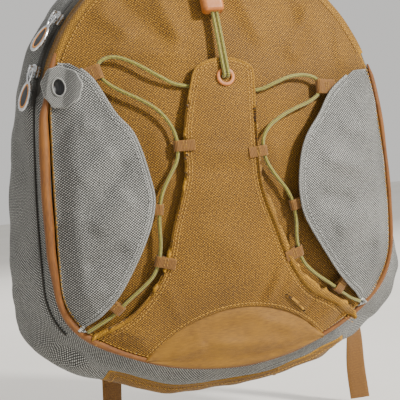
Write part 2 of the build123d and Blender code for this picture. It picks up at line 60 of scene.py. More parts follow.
# Each outline: arch radius, half width, height of the widest place, corner radius, bottom.
FRONT = (142.0, 147.0, -300.0, 62.0, -388.0)
SHOULDER = (154.0, 163.0, -312.0, 60.0, -403.0)
BELLY = (160.0, 176.0, -325.0, 60.0, -416.0)
BACK = (146.0, 154.0, -320.0, 58.0, -412.0)
CRESCENT = (-4.0, -438.0, 101.0)     # x, z and radius of the lower panel's upper edge
PIPING_TOP = -135.0
LEFT_PIPING_TOP = -117.0
RIGHT_PIPING_TOP = -147.0
BUNGEE = 3.0
STRAND_X = 1.7               # the double bungee's strands stand at plus and minus this
GROMMET_XZ = (0.0, -150.0)
CORD_TOP_XZ = (0.0, -60.0)
CORD_LIFT = 9.0              # height of the double bungee's upper end over the front
CORD_BEND_LIFT = 12.0        # and where it turns down into the grommet
PACK_MIDDLE = np.array([0.0, -45.0, -225.0])
PANEL_CENTRE = np.array([0.0, -215.0])       # x and z that the front and back shells spread from
PORT_REACH = (4.8, 7.2)      # half width and half height of the cable port


# ---- materials --------------------------------------------------------------------------------------
def linear(colour):
    """Scene-linear colour from 0-255 display values."""
    steps = [c / 255 for c in colour]
    return tuple(s / 12.92 if s <= 0.04045 else ((s + 0.055) / 1.055) ** 2.4 for s in steps) + (1.0,)


class Surface:
    """A node material under construction: short calls that add and link nodes."""

    def __init__(self, name, coords="UV"):
        self.material = bpy.data.materials.new(name)
        self.material.use_nodes = True
        self.tree = self.material.node_tree
        self.shader = self.tree.nodes["Principled BSDF"]
        self.place = self.tree.nodes.new("ShaderNodeTexCoord").outputs[coords]

    def node(self, kind, inputs=None, out=0, **settings):
        made = self.tree.nodes.new(kind)
        for key, value in settings.items():
            setattr(made, key, value)
        for key, value in (inputs or {}).items():
            if isinstance(value, bpy.types.NodeSocket):
                self.tree.links.new(value, made.inputs[key])
            else:
                made.inputs[key].default_value = value
        return made.outputs[out]

    def maths(self, operation, a, b=0.0):
        return self.node("ShaderNodeMath", {0: a, 1: b}, operation=operation)

    def noise(self, size, detail=2.0, stretch=(1, 1, 1)):
        """Noise between 0 and 1 whose blobs are about `size` metres across."""
        place = self.node("ShaderNodeVectorMath", {0: self.place, 1: stretch}, operation="MULTIPLY")
        return self.node("ShaderNodeTexNoise", {"Vector": place, "Scale": 1 / size, "Detail": detail})

    def ramp(self, value, low, high, a=0.0, b=1.0):
        inputs = {"Value": value, "From Min": low, "From Max": high, "To Min": a, "To Max": b}
        return self.node("ShaderNodeMapRange", inputs)

    def mix(self, share, a, b, blend="MIX"):
        inputs = {0: share, 6: a, 7: b}
        return self.node("ShaderNodeMix", inputs, out=2, data_type="RGBA", blend_type=blend)

    def waves(self, pitch_x, pitch_y, turn=0.0):
        """Sine waves across and along the cloth, as two sockets."""
        turned = self.node("ShaderNodeVectorRotate", {"Vector": self.place, "Angle": math.radians(turn)},
                           rotation_type="Z_AXIS")
        full = 2 * math.pi
        scaled = self.node("ShaderNodeVectorMath", {0: turned, 1: (full / pitch_x, full / pitch_y, 0)},
                           operation="MULTIPLY")
        sines = self.node("ShaderNodeVectorMath", {0: scaled}, operation="SINE")
        split = self.tree.nodes.new("ShaderNodeSeparateXYZ")
        self.tree.links.new(sines, split.inputs[0])
        return split.outputs[0], split.outputs[1]

    def painted_edge_highlight(self, colour, light, amount=0.5):
        """Painted highlight: lightens the cloth or plastic along its sharp edges."""
        edge = self.ramp(self.node("ShaderNodeNewGeometry", out=7), 0.53, 0.62, 0.0, amount)
        return self.mix(edge, colour, light)

    def finish(self, colour, height=None, bump=0.0003, rough=0.8, **settings):
        self.tree.links.new(colour, self.shader.inputs["Base Color"])
        if isinstance(rough, bpy.types.NodeSocket):
            self.tree.links.new(rough, self.shader.inputs["Roughness"])
        else:
            self.shader.inputs["Roughness"].default_value = rough
        for key, value in settings.items():
            self.shader.inputs[key.replace("_", " ")].default_value = value
        if height is not None:
            normal = self.node("ShaderNodeBump", {"Strength": 1.0, "Distance": bump, "Height": height})
            self.tree.links.new(normal, self.shader.inputs["Normal"])
        return self.material


def dobby(name, base, dark, light, pitch, heather, coords="UV"):
    """Woven pack cloth: rows of small bright floats over a darker ground, with heathering and soiling."""
    s = Surface(name, coords)
    across, along = s.waves(pitch * 1.15, pitch)
    floats = s.ramp(s.maths("MULTIPLY", across, along), 0.12, 0.62)
    fleck = s.noise(pitch * 0.55, 3.0)
    broad = s.noise(0.06, 3.0)
    ground = s.mix(s.ramp(fleck, 0.35, 0.65), linear(dark), linear(base))
    lit = s.maths("MULTIPLY", floats, s.ramp(fleck, 0.5 - heather, 0.75, 0.25, 1.0))
    colour = s.mix(lit, ground, linear(light))
    colour = s.mix(s.ramp(broad, 0.35, 0.7, 0.0, 0.35), colour, linear(dark))
    # painted highlight along the cloth's sharp edges
    colour = s.painted_edge_highlight(colour, linear(light), 0.35)
    height = s.maths("ADD", s.maths("MULTIPLY", floats, 0.8), s.maths("MULTIPLY", fleck, 0.35))
    rough = s.ramp(floats, 0.0, 1.0, 0.88, 0.6)
    return s.finish(colour, height, 0.00035, rough, Sheen_Weight=0.05, Sheen_Roughness=0.45)


def plain_cloth(name, base, dark, light, pitch=0.0006, turn=0.0, satin=0.55):
    """Smooth tightly woven cloth with fine slubs."""
    s = Surface(name)
    across, along = s.waves(pitch, pitch, turn)
    weave = s.ramp(s.maths("MULTIPLY", across, along), -0.6, 0.8)
    slub = s.noise(0.0009, 3.0, (0.15, 1, 1))
    broad = s.noise(0.035, 4.0)
    colour = s.mix(s.ramp(slub, 0.35, 0.7), linear(dark), linear(base))
    colour = s.mix(s.ramp(broad, 0.45, 0.75, 0.0, 0.45), colour, linear(light))
    # painted highlight along the cloth's sharp edges
    colour = s.painted_edge_highlight(colour, linear(light), 0.4)
    height = s.maths("ADD", s.maths("MULTIPLY", weave, 0.5), s.maths("MULTIPLY", slub, 0.7))
    return s.finish(colour, height, 0.00016, satin, Sheen_Weight=0.04, Sheen_Roughness=0.5)


def ribbed_webbing(name, base, dark, light, coords="UV"):
    """Herringbone webbing: slanted ribs that turn back in lanes along the band."""
    s = Surface(name, coords)
    across, along = s.waves(0.0022, 0.0011)
    slant = s.waves(0.0011, 0.0011, 45)[0]
    ribs = s.ramp(s.maths("ADD", s.maths("MULTIPLY", slant, across), along), -1.2, 1.2)
    fleck = s.noise(0.0008, 3.0)
    colour = s.mix(ribs, linear(dark), linear(base))
    colour = s.mix(s.ramp(fleck, 0.5, 0.8, 0.0, 0.6), colour, linear(light))
    # painted highlight along the webbing's sharp edges
    colour = s.painted_edge_highlight(colour, linear(light), 0.5)
    height = s.maths("ADD", ribs, s.maths("MULTIPLY", fleck, 0.3))
    return s.finish(colour, height, 0.0003, 0.72, Sheen_Weight=0.15)


def braided_cord(name, base, dark, light):
    """Bungee sleeve: plaited strands, with painted shade in the gaps between them and a painted highlight
    flecked over their tops. U runs along the cord, V round it.
    """
    s = Surface(name)
    first = s.waves(0.0016, 0.00236, 38)[0]
    second = s.waves(0.0016, 0.00236, -38)[0]
    plait = s.ramp(s.maths("MULTIPLY", first, second), -0.5, 0.6)
    fleck = s.noise(0.0007, 2.0)
    # painted shade: darker in the gaps between the plaited strands
    colour = s.mix(plait, linear(dark), linear(base))
    # painted highlight: bright flecks on the tops of the strands
    colour = s.mix(s.ramp(s.maths("MULTIPLY", plait, fleck), 0.35, 0.7, 0.0, 0.8), colour, linear(light))
    height = s.maths("ADD", plait, s.maths("MULTIPLY", fleck, 0.3))
    return s.finish(colour, height, 0.0003, 0.5, Sheen_Weight=0.3)


def moulded(name, base, dark, light, rough=0.45, grain=0.0009, coords="Object", **settings):
    """Moulded plastic or rubber: fine spark-eroded grain, cloudy colour and a painted highlight along sharp
    edges.
    """
    s = Surface(name, coords)
    spark = s.noise(grain, 2.0)
    cloud = s.noise(0.008, 3.0)
    colour = s.mix(s.ramp(cloud, 0.3, 0.75), linear(dark), linear(base))
    # painted highlight along the plastic's sharp edges
    colour = s.painted_edge_highlight(colour, linear(light), 0.7)
    roughness = s.ramp(s.noise(0.004, 4.0), 0.3, 0.7, rough - 0.1, rough + 0.15)
    return s.finish(colour, spark, 0.00008, roughness, **settings)


def brushed(name, base, dark, rough=0.22, coords="Object"):
    """Plated metal with fine scratches and tarnish in patches."""
    s = Surface(name, coords)
    scratch = s.noise(0.0012, 4.0, (1, 0.12, 1))
    tarnish = s.noise(0.005, 3.0)
    colour = s.mix(s.ramp(tarnish, 0.5, 0.8, 0.0, 0.6), linear(base), linear(dark))
    roughness = s.ramp(scratch, 0.3, 0.7, rough - 0.08, rough + 0.14)
    return s.finish(colour, scratch, 0.00005, roughness, Metallic=1.0)


def spacer_mesh(name, base, dark, pitch=0.0034):
    """Knitted spacer mesh of back pads: open cells with a raised lattice, on faces that look along Y."""
    s = Surface(name, "Object")
    turned = s.node("ShaderNodeVectorMath", {0: s.place, 1: (1, 0.2, 1)}, operation="MULTIPLY")
    cells = s.node("ShaderNodeTexVoronoi", {"Vector": turned, "Scale": 1 / pitch, "Randomness": 0.35},
                   feature="DISTANCE_TO_EDGE")
    lattice = s.ramp(cells, 0.02, 0.3, 1.0, 0.0)
    yarn = s.noise(0.0008, 2.0)
    colour = s.mix(lattice, linear(dark), linear(base))
    colour = s.mix(s.ramp(yarn, 0.3, 0.7, 0.0, 0.3), colour, linear(dark))
    height = s.maths("ADD", lattice, s.maths("MULTIPLY", yarn, 0.25))
    return s.finish(colour, height, 0.0009, 0.85, Sheen_Weight=0.3)


def ripstop(name, base, dark, light, coords="Object"):
    """Thin coated lining cloth with a reinforcing grid and painted shade in the hollows of its creases."""
    s = Surface(name, coords)
    across, along = s.waves(0.005, 0.005)
    grid = s.maths("MAXIMUM", s.ramp(across, 0.93, 1.0), s.ramp(along, 0.93, 1.0))
    crease = s.noise(0.02, 4.0)
    # painted shade: darker where the crease bumps are low
    colour = s.mix(s.ramp(crease, 0.3, 0.7), linear(dark), linear(base))
    colour = s.mix(s.maths("MULTIPLY", grid, 0.6), colour, linear(light))
    return s.finish(colour, s.maths("ADD", grid, crease), 0.0004, 0.5)


MATERIALS = {
    "mustard_weave": dobby("mustard_weave", (116, 76, 2), (50, 29, 1), (232, 170, 16), 0.0021, 0.12),
    "grey_weave": dobby("grey_weave", (80, 80, 77), (24, 25, 25), (232, 232, 226), 0.0021, 0.3),
    "mustard_smooth": plain_cloth("mustard_smooth", (136, 94, 3), (108, 70, 2), (158, 112, 8)),
    "piping_orange": plain_cloth("piping_orange", (124, 72, 2), (92, 50, 1), (150, 94, 8), 0.0007, 45, 0.6),
    "webbing_mustard": ribbed_webbing("webbing_mustard", (130, 84, 8), (66, 38, 2), (178, 122, 22)),
    "bungee": braided_cord("bungee", (150, 140, 18), (46, 40, 2), (236, 230, 96)),
    "pad_mesh": spacer_mesh("pad_mesh", (150, 151, 148), (44, 45, 46)),
    "lining": ripstop("lining", (58, 59, 61), (40, 41, 43), (84, 86, 88)),
    "zip_tape": ribbed_webbing("zip_tape", (52, 50, 44), (24, 23, 20), (78, 74, 64)),
    "zip_metal": brushed("zip_metal", (214, 216, 218), (120, 122, 124)),
    "pull_inlay": moulded("pull_inlay", (66, 70, 74), (48, 51, 55), (104, 108, 112), 0.5, 0.0006),
    "pull_ring": moulded("pull_ring", (206, 130, 48), (178, 104, 32), (232, 168, 92), 0.4, 0.0006),
    "tan_plastic": moulded("tan_plastic", (178, 106, 44), (150, 84, 28), (206, 142, 82), 0.42),
    "black_plastic": moulded("black_plastic", (44, 44, 45), (30, 30, 31), (92, 92, 92), 0.42),
    "spring_steel": brushed("spring_steel", (170, 172, 176), (90, 92, 96), 0.3),
    "sheet_plastic": moulded("sheet_plastic", (206, 208, 206), (186, 188, 188), (226, 228, 226), 0.4, 0.0014),
    "bladder_film": moulded("bladder_film", (128, 164, 186), (98, 138, 164), (196, 216, 226), 0.2, 0.0016,
                            Transmission_Weight=0.55, Coat_Weight=0.3),
    "cap_blue": moulded("cap_blue", (34, 88, 150), (24, 68, 122), (92, 140, 190), 0.38),
    "thread": ribbed_webbing("thread", (176, 122, 16), (110, 70, 6), (222, 168, 52)),
    "thread_grey": ribbed_webbing("thread_grey", (150, 150, 146), (92, 92, 90), (206, 206, 202)),
    "fray": plain_cloth("fray", (206, 120, 44), (170, 88, 24), (236, 160, 80), 0.0005),
}


# ---- mesh helpers -----------------------------------------------------------------------------------
def make_piece(name, points, faces, uvs, material, closed=False):
    """Mesh object from points in mm and per-corner texture places in metres."""
    mesh = bpy.data.meshes.new(name)
    mesh.from_pydata([tuple(p * MM) for p in points], [], faces)
    layer = mesh.uv_layers.new(name="UVMap")
    layer.data.foreach_set("uv", np.array(uvs, float).ravel())
    if closed:
        solid = bmesh.new()
        solid.from_mesh(mesh)
        bmesh.ops.recalc_face_normals(solid, faces=solid.faces)
        solid.to_mesh(mesh)
        solid.free()
    mesh.polygons.foreach_set("use_smooth", [True] * len(mesh.polygons))
    mesh.materials.append(MATERIALS[material])
    mesh.update()
    piece = bpy.data.objects.new(name, mesh)
    bpy.context.scene.collection.objects.link(piece)
    return piece


def steps_along(points):
    """Distance along a line of points, from 0."""
    gaps = np.linalg.norm(np.diff(points, axis=0), axis=-1)
    return np.concatenate([[0.0], np.cumsum(gaps)])


def grid_piece(name, grid, material, closed_u=False, closed_v=False, uv=None, keep=None, caps=False):
    """Piece from a grid of points (rows, columns). u runs along the columns, v along the rows.

    An open shell's faces look away from the middle of the pack.
    """
    rows, cols = grid.shape[:2]
    u_count = cols if closed_u else cols - 1
    v_count = rows if closed_v else rows - 1
    if uv is None:
        wide = grid[:, list(range(cols)) + ([0] if closed_u else [])]
        tall = grid[list(range(rows)) + ([0] if closed_v else [])]
        u = np.mean([steps_along(row) for row in wide], axis=0) * MM
        v = np.mean([steps_along(tall[:, j]) for j in range(cols)], axis=0) * MM
        uv = np.stack(np.meshgrid(u, v), axis=-1)
    faces = []
    corners = []
    for i in range(v_count):
        for j in range(u_count):
            if keep is not None and not keep[i, j]:
                continue
            a, b = (i + 1) % rows, (j + 1) % cols
            faces.append((i * cols + j, i * cols + b, a * cols + b, a * cols + j))
            corners += [uv[i, j], uv[i, j + 1], uv[i + 1, j + 1], uv[i + 1, j]]
    if caps and closed_u:
        for i, order in ((0, -1), (rows - 1, 1)):
            faces.append(tuple(i * cols + j for j in range(cols))[::order])
            corners += [uv[i, j] for j in range(cols)][::order]
    points = grid.reshape(-1, 3)
    closed = closed_u and (closed_v or caps)
    if not closed:
        a, b, c, d = (points[np.array(faces)[:, k]] for k in range(4))
        looks = np.cross(b - a, d - a)
        if np.sum(looks * ((a + c) / 2 - PACK_MIDDLE)) < 0:
            faces = [face[::-1] for face in faces]
            corners = [corners[k + 3 - m] for k in range(0, len(corners), 4) for m in range(4)]
    return make_piece(name, points, faces, corners, material, closed)


def modifier(piece, kind, **settings):
    made = piece.modifiers.new(kind.lower(), kind)
    for key, value in settings.items():
        setattr(made, key, value)
    return piece


def thicken(piece, thickness, offset=-1.0):
    return modifier(piece, "SOLIDIFY", thickness=thickness * MM, offset=offset)


def put(piece, slot, body="pack", *stands_for):
    """Gives a piece its body, and hides the CAD nodes it stands for. The slot is not used."""
    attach(piece, body)
    if stands_for:
        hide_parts(*stands_for)
    return piece


def curve_through(points, count):
    """Smooth line through points, evenly spaced along its length."""
    p = np.array(points, float)
    ends = np.vstack([2 * p[0] - p[1], p, 2 * p[-1] - p[-2]])
    t = np.linspace(0, 1, 24, endpoint=False)[:, None]
    parts = []
    for a, b, c, d in zip(ends, ends[1:], ends[2:], ends[3:]):
        parts.append(0.5 * (2 * b + (c - a) * t + (2 * a - 5 * b + 4 * c - d) * t**2
                            + (3 * b - a - 3 * c + d) * t**3))
    return respaced(np.vstack(parts + [p[-1:]]), count)


def respaced(line, count):
    """The same line with `count` evenly spaced points."""
    along = steps_along(line)
    wanted = np.linspace(0, along[-1], count)
    return np.stack([np.interp(wanted, along, line[:, k]) for k in range(line.shape[1])], axis=-1)


def smooth_step(t):
    t = np.clip(t, 0, 1)
    return t * t * (3 - 2 * t)


def noise_at(points, size, seed=0.0):
    """Smooth noise, about -0.5 to 0.5, at points in mm."""
    flat = np.asarray(points, float).reshape(-1, np.shape(points)[-1])
    values = []
    for p in flat:
        x, y = p[0] / size, p[1] / size
        z = p[2] / size if len(p) > 2 else 0.0
        values.append(noise.noise(Vector((x + seed, y - seed, z + seed))))
    return np.array(values).reshape(np.shape(points)[:-1])


def fold(xz, start, end, width, height):
    """Height of a soft ridge, or a valley where height is negative, along a line in the front's x and z."""
    a, b = np.array(start, float), np.array(end, float)
    d = b - a
    t = ((xz - a) @ d) / (d @ d)
    near = a + np.clip(t, 0, 1)[..., None] * d
    off = np.linalg.norm(xz - near, axis=-1)
    taper = smooth_step((0.5 - np.abs(np.clip(t, 0, 1) - 0.5)) * 4 + 0.15)
    return height * np.exp(-((off / width) ** 2)) * taper


def folds(xz, items):
    return sum(fold(xz, *item) for item in items)


def on_dome(xz, lift=0.0):
    """Points over the domed front at a height above its face."""
    x, z = xz[..., 0], xz[..., 1]
    y = DOME_Y - np.sqrt((DOME_RADIUS + lift) ** 2 - x**2 - (z - DOME_Z) ** 2)
    return np.stack([x, y, z], axis=-1)


def grown(section, margin):
    arch, half, widest, corner, bottom = section
    return (arch + margin, half + margin, widest, corner + margin, bottom - margin)


def outline(section, counts=(60, 36, 26, 40)):
    """Closed pack outline in x and z, from the top down the right side: arcs, each tangent to the next."""
    arch_r, half, widest, corner_r, bottom = section
    drop = ARCH_Z - widest
    side_r = (half**2 + drop**2 - arch_r**2) / (2 * (half - arch_r))
    side_angle = math.atan2(drop, side_r - half)
    depth = widest - bottom
    corner_x = half - corner_r
    bottom_r = (corner_x**2 + depth**2 - corner_r**2) / (2 * (depth - corner_r))
    corner_angle = math.atan2(bottom_r - depth, corner_x)
    arch_n, side_n, corner_n, bottom_n = counts

    def arc(x, z, r, start, end, n):
        a = np.linspace(start, end, n, endpoint=False)
        return np.stack([x + r * np.cos(a), z + r * np.sin(a)], axis=-1)

    right = np.vstack([
        arc(0, ARCH_Z, arch_r, math.pi / 2, side_angle, arch_n),
        arc(half - side_r, widest, side_r, side_angle, 0, side_n),
        arc(corner_x, widest, corner_r, 0, -corner_angle, corner_n),
        arc(0, bottom + bottom_r, bottom_r, -corner_angle, -math.pi / 2, bottom_n),
        [[0, bottom]],
    ])
    left = right[1:-1][::-1] * (-1, 1)
    return np.vstack([right, left])


def outward(ring):
    """Unit normals of a closed clockwise outline, pointing out."""
    d = np.roll(ring, -1, axis=0) - np.roll(ring, 1, axis=0)
    n = np.stack([-d[:, 1], d[:, 0]], axis=-1)
    return n / np.linalg.norm(n, axis=-1)[:, None]


def coons(top, bottom, left, right):
    """Grid of x and z filled in between four edge lines."""
    rows, cols = len(left), len(top)
    s = np.linspace(0, 1, cols)[None, :, None]
    t = np.linspace(0, 1, rows)[:, None, None]
    sides = (1 - s) * left[:, None] + s * right[:, None]
    ends = (1 - t) * top[None] + t * bottom[None]
    corners = ((1 - s) * (1 - t) * top[0] + s * (1 - t) * top[-1]
               + (1 - s) * t * bottom[0] + s * t * bottom[-1])
    return sides + ends - corners


def tube(name, line, radius, material, sides=10, caps=True):
    """Round tube along a line of points in mm; u runs along it and v round it."""
    line = np.array(line, float)
    radii = np.broadcast_to(np.array(radius, float), (len(line),))
    tangents = np.gradient(line, axis=0)
    tangents /= np.linalg.norm(tangents, axis=-1)[:, None]
    side = np.cross(tangents[0], (0, 1, 0.1))
    angles = np.linspace(0, 2 * math.pi, sides, endpoint=False)
    rings = []
    for point, tangent, r in zip(line, tangents, radii):
        side = side - tangent * (side @ tangent)
        side /= np.linalg.norm(side)
        other = np.cross(tangent, side)
        rings.append(point + r * (np.cos(angles)[:, None] * side + np.sin(angles)[:, None] * other))
    u = steps_along(line) * MM
    v = np.linspace(0, 2 * math.pi * np.mean(radii) * MM, sides + 1)
    uv = np.stack([np.repeat(u[:, None], sides + 1, axis=1), np.repeat(v[None], len(u), axis=0)], axis=-1)
    return grid_piece(name, np.array(rings), material, closed_u=True, uv=uv, caps=caps)


def ribbon(name, line, widths, width, thickness, material, columns=6):
    """Flat band along a line: `widths` are the across directions."""
    line = np.array(line, float)
    across = np.linspace(-0.5, 0.5, columns)
    sizes = np.broadcast_to(np.array(width, float), (len(line),))
    grid = line[:, None] + across[None, :, None] * sizes[:, None, None] * np.array(widths)[:, None]
    u = across * np.mean(sizes) * MM
    v = steps_along(line) * MM
    uv = np.stack([np.repeat(u[None], len(v), axis=0), np.repeat(v[:, None], len(u), axis=1)], axis=-1)
    piece = grid_piece(name, grid, material, uv=uv)
    thicken(piece, thickness, 0.0)
    return modifier(piece, "BEVEL", width=0.25 * MM, segments=1, limit_method="ANGLE")


def stitches(name, rows, material, pitch=3.4, length=2.5, radius=0.32):
    """Rows of short threads. Each row is points on the cloth and the cloth's outward normals."""
    points, faces, uvs = [], [], []
    sides = 5
    angles = np.linspace(0, 2 * math.pi, sides, endpoint=False)
    for line, normals in rows:
        along = steps_along(line)
        starts = np.arange(0, along[-1] - length, pitch)
        for start in starts:
            at = start + np.array([0, 0.2, 0.5, 0.8, 1.0]) * length
            centre = np.stack([np.interp(at, along, line[:, k]) for k in range(3)], axis=-1)
            up = np.stack([np.interp(at, along, normals[:, k]) for k in range(3)], axis=-1)
            centre = centre + up * (np.array([-0.35, 0.12, 0.3, 0.12, -0.35]) * radius * 2)[:, None]
            tangent = centre[-1] - centre[0]
            tangent /= np.linalg.norm(tangent)
            side = np.cross(tangent, up[2])
            side /= np.linalg.norm(side)
            lift = np.cross(side, tangent)
            first = len(points)
            for i, r in enumerate((0.5, 1.0, 1.1, 1.0, 0.5)):
                for a in angles:
                    points.append(centre[i] + r * radius * (math.cos(a) * side + math.sin(a) * lift))
            for i in range(4):
                for j in range(sides):
                    k = (j + 1) % sides
                    faces.append((first + i * sides + j, first + i * sides + k,
                                  first + (i + 1) * sides + k, first + (i + 1) * sides + j))
            faces.append(tuple(first + j for j in range(sides))[::-1])
            faces.append(tuple(first + 4 * sides + j for j in range(sides)))
    for face in faces:
        for corner in face:
            uvs.append(((corner % 97) * 0.00013, (corner % 89) * 0.00017))
    return make_piece(name, np.array(points), faces, uvs, material, True)


def dome_normals(points):
    n = points - np.array([0, DOME_Y, DOME_Z])
    return n / np.linalg.norm(n, axis=-1)[:, None]


def route_line(points, per_run=12):
    """Points along the smooth NURBS line of a cord's route, in mm."""
    curve = bpy.data.curves.new("route", "CURVE")
    curve.dimensions = "3D"
    spline = curve.splines.new("NURBS")
    spline.points.add(len(points) - 1)
    for target, p in zip(spline.points, points):
        target.co = (p[0] * MM, p[1] * MM, p[2] * MM, 1)
    spline.order_u = 3
    spline.use_endpoint_u = True
    spline.resolution_u = per_run
    holder = bpy.data.objects.new("route", curve)
    bpy.context.scene.collection.objects.link(holder)
    line = bpy.data.meshes.new_from_object(holder)
    found = np.array([v.co[:] for v in line.vertices]) / MM
    bpy.data.objects.remove(holder)
    bpy.data.curves.remove(curve)
    bpy.data.meshes.remove(line)
    return found


# ---- front shells -----------------------------------------------------------------------------------
EDGE = outline(grown(FRONT, -3.2))


def edge_distance(xz):
    """Distance in mm from points to the front's sewn edge."""
    flat = xz.reshape(-1, 2)
    gaps = [np.min(np.hypot(EDGE[:, 0] - p[0], EDGE[:, 1] - p[1])) for p in flat]
    return np.array(gaps).reshape(xz.shape[:-1])


def crescent_arc(start, end, count, grow=0.0):
    """Points along the crescent's upper edge, between the directions of two points on it."""
    a, b = start - CRESCENT[:2], end - CRESCENT[:2]
    angles = np.linspace(math.atan2(a[1], a[0]), math.atan2(b[1], b[0]), count)
    return CRESCENT[:2] + (CRESCENT[2] + grow) * np.stack([np.cos(angles), np.sin(angles)], axis=-1)


def spread(rim, count):
    """Rings of points from a panel's centre out to its rim."""
    return PANEL_CENTRE + (rim - PANEL_CENTRE)[None] * np.linspace(0.004, 1, count)[:, None, None]


def wrapped(xz):
    """Texture places of closed rings, with the first point repeated at the end."""
    return np.concatenate([xz, xz[:, :1]], axis=1) * MM


def dome_row(line, height):
    """Row for stitches: points over the front and the normals there."""
    points = on_dome(line, height)
    return points, dome_normals(points)


def crescent_distance(xz):
    """Distance outside the upper edge of the smooth lower panel; negative inside it."""
    return np.hypot(xz[..., 0] - CRESCENT[0], xz[..., 1] - CRESCENT[1]) - CRESCENT[2]


# Folds in flat cloth: start and end in x and z, width and height in mm (below 0 for a furrow).
FRONT_FOLDS = (
    ((-104, -74), (-66, -112), 8, 4.0), ((-78, -70), (-34, -128), 9, -3.6),
    ((-92, -122), (-26, -124), 7, 3.0), ((-46, -66), (-30, -120), 7, 3.0),
    ((22, -70), (40, -128), 8, 3.0), ((60, -66), (84, -140), 9, -3.2),
    ((92, -90), (60, -142), 7, 3.2), ((120, -84), (108, -150), 5, 2.6), ((-60, -180), (-52, -240), 8, 1.8),
    ((38, -200), (34, -250), 8, 1.4),
)


def front_height(xz):
    inside = smooth_step(-crescent_distance(xz) / 6)
    wavy = 1.4 * noise_at(xz, 34, 3.1)
    return (folds(xz, FRONT_FOLDS) + wavy) * (1 - inside) * smooth_step(edge_distance(xz) / 12) - 2.5 * inside


def front_panel():
    xz = spread(outline(grown(FRONT, -2.0)), 64)
    grid = on_dome(xz, front_height(xz))
    piece = grid_piece("front_shell", grid, "mustard_weave", closed_u=True, uv=wrapped(xz))
    thicken(piece, 1.6)
    put(piece, "mustard_weave", "pack", "front_panel")


def lower_panel():
    """Smooth crescent: its lower edge bulges a little over the grey band."""
    low = outline(grown(FRONT, 1.2))
    low = low[(low[:, 1] < -340) & (crescent_distance(low) < 2)]
    low = respaced(low[np.argsort(low[:, 0])], 90)
    high = crescent_arc(low[0], low[-1], 90, 1.5)
    t = np.linspace(0, 1, 34)[:, None, None]
    xz = (1 - t) * high[None] + t * low[None]
    swell = np.sin(math.pi * np.clip(t[..., 0], 0, 1)) ** 0.8
    creases = folds(xz, (((-62, -374), (-30, -366), 5, 1.8), ((-34, -366), (52, -378), 6, 2.2),
                         ((-40, -352), (20, -350), 7, -1.4), ((-20, -384), (40, -384), 4, -1.4),
                         ((10, -346), (50, -366), 5, 1.0)))
    height = 0.6 + 3.4 * swell + creases * swell + 1.2 * noise_at(xz, 22, 8.0) * swell
    height = height + 2.2 * smooth_step((t[..., 0] - 0.8) / 0.2)
    piece = grid_piece("lower_crescent", on_dome(xz, height), "mustard_smooth", uv=xz * MM)
    thicken(piece, 1.4)
    put(piece, "mustard_smooth", "pack", "lower_panel")


TONGUE_LEFT = curve_through([(-26, -146), (-36, -178), (-40, -203), (-42, -228), (-54, -263), (-64, -298),
                             (-88, -330), (-124, -350)], 110)
TONGUE_RIGHT = curve_through([(24, -150), (19, -203), (19, -238), (28, -270), (40, -303), (57, -329),
                              (83, -346), (108, -365)], 110)
TONGUE_TOP = curve_through([(-26, -146), (-21, -139.5), (-10, -135.5), (4, -135), (16, -138.5), (23, -144),
                            (24, -150)], 60)
TONGUE_FOLDS = (
    ((38, -296), (20, -340), 5, 1.9), ((27, -312), (12, -338), 4, -1.5), ((46, -312), (30, -346), 5, 1.3),
    ((-66, -308), (-52, -344), 5, 1.5), ((67, -332), (56, -354), 2.4, -1.3),
    ((97, -356), (74, -379), 2.4, -1.5),
    ((-40, -205), (16, -212), 5, 1.0), ((-40, -221), (16, -226), 5, -0.9), ((-44, -262), (10, -300), 12, 1.4),
    ((-100, -345), (-72, -352), 5, 1.0), ((82, -350), (60, -366), 4, 1.0), ((-20, -150), (14, -156), 4, -0.7),
)


def tongue_height(xz):
    near_crescent = 2.6 + 5.2 * smooth_step(crescent_distance(xz) / 26)
    near_edge = 1.6 + 6.2 * smooth_step(edge_distance(xz) / 16)
    return np.minimum(near_crescent, near_edge) + folds(xz, TONGUE_FOLDS) + 0.9 * noise_at(xz, 26, 5.5)


def tongue():
    low = outline(grown(FRONT, -2.6))
    low = low[low[:, 1] < -345]
    low = low[np.argsort(low[:, 0])]
    clear = crescent_distance(low) > 0
    left = low[clear & (low[:, 0] < 0) & (low[:, 0] > TONGUE_LEFT[-1, 0])]
    right = low[clear & (low[:, 0] > 0) & (low[:, 0] < TONGUE_RIGHT[-1, 0])]
    rim = crescent_arc(left[-1], right[0], 60)
    bottom = respaced(np.vstack([TONGUE_LEFT[-1:], left, rim, right, TONGUE_RIGHT[-1:]]), 80)
    xz = coons(respaced(TONGUE_TOP, 80), bottom, TONGUE_LEFT, TONGUE_RIGHT)
    piece = grid_piece("tongue", on_dome(xz, tongue_height(xz)), "mustard_weave", uv=xz * MM)
    thicken(piece, 2.0)
    put(piece, "mustard_weave", "pack", "tongue_flap")
    path = np.vstack([TONGUE_LEFT[::-1], TONGUE_TOP[1:-1], TONGUE_RIGHT])
    edge = respaced(path, 420)
    hem = tube("tongue_hem", on_dome(edge, tongue_height(edge) - 0.9), 1.25, "mustard_weave", 8)
    put(hem, "mustard_weave")
    seams = [inset_line(respaced(path, 400), inset) for inset in (2.2, 4.6)]
    seams.append(respaced(crescent_arc(left[-1], right[0], 60, 2.4), 160))
    rows = [dome_row(seam, tongue_height(seam) + 0.1) for seam in seams]
    put(stitches("tongue_stitching", rows, "thread"), "mustard_weave")


def inset_line(line, amount):
    """The line moved to its right-hand side."""
    d = np.gradient(line, axis=0)
    d /= np.linalg.norm(d, axis=-1)[:, None]
    return line + amount * np.stack([d[:, 1], -d[:, 0]], axis=-1)


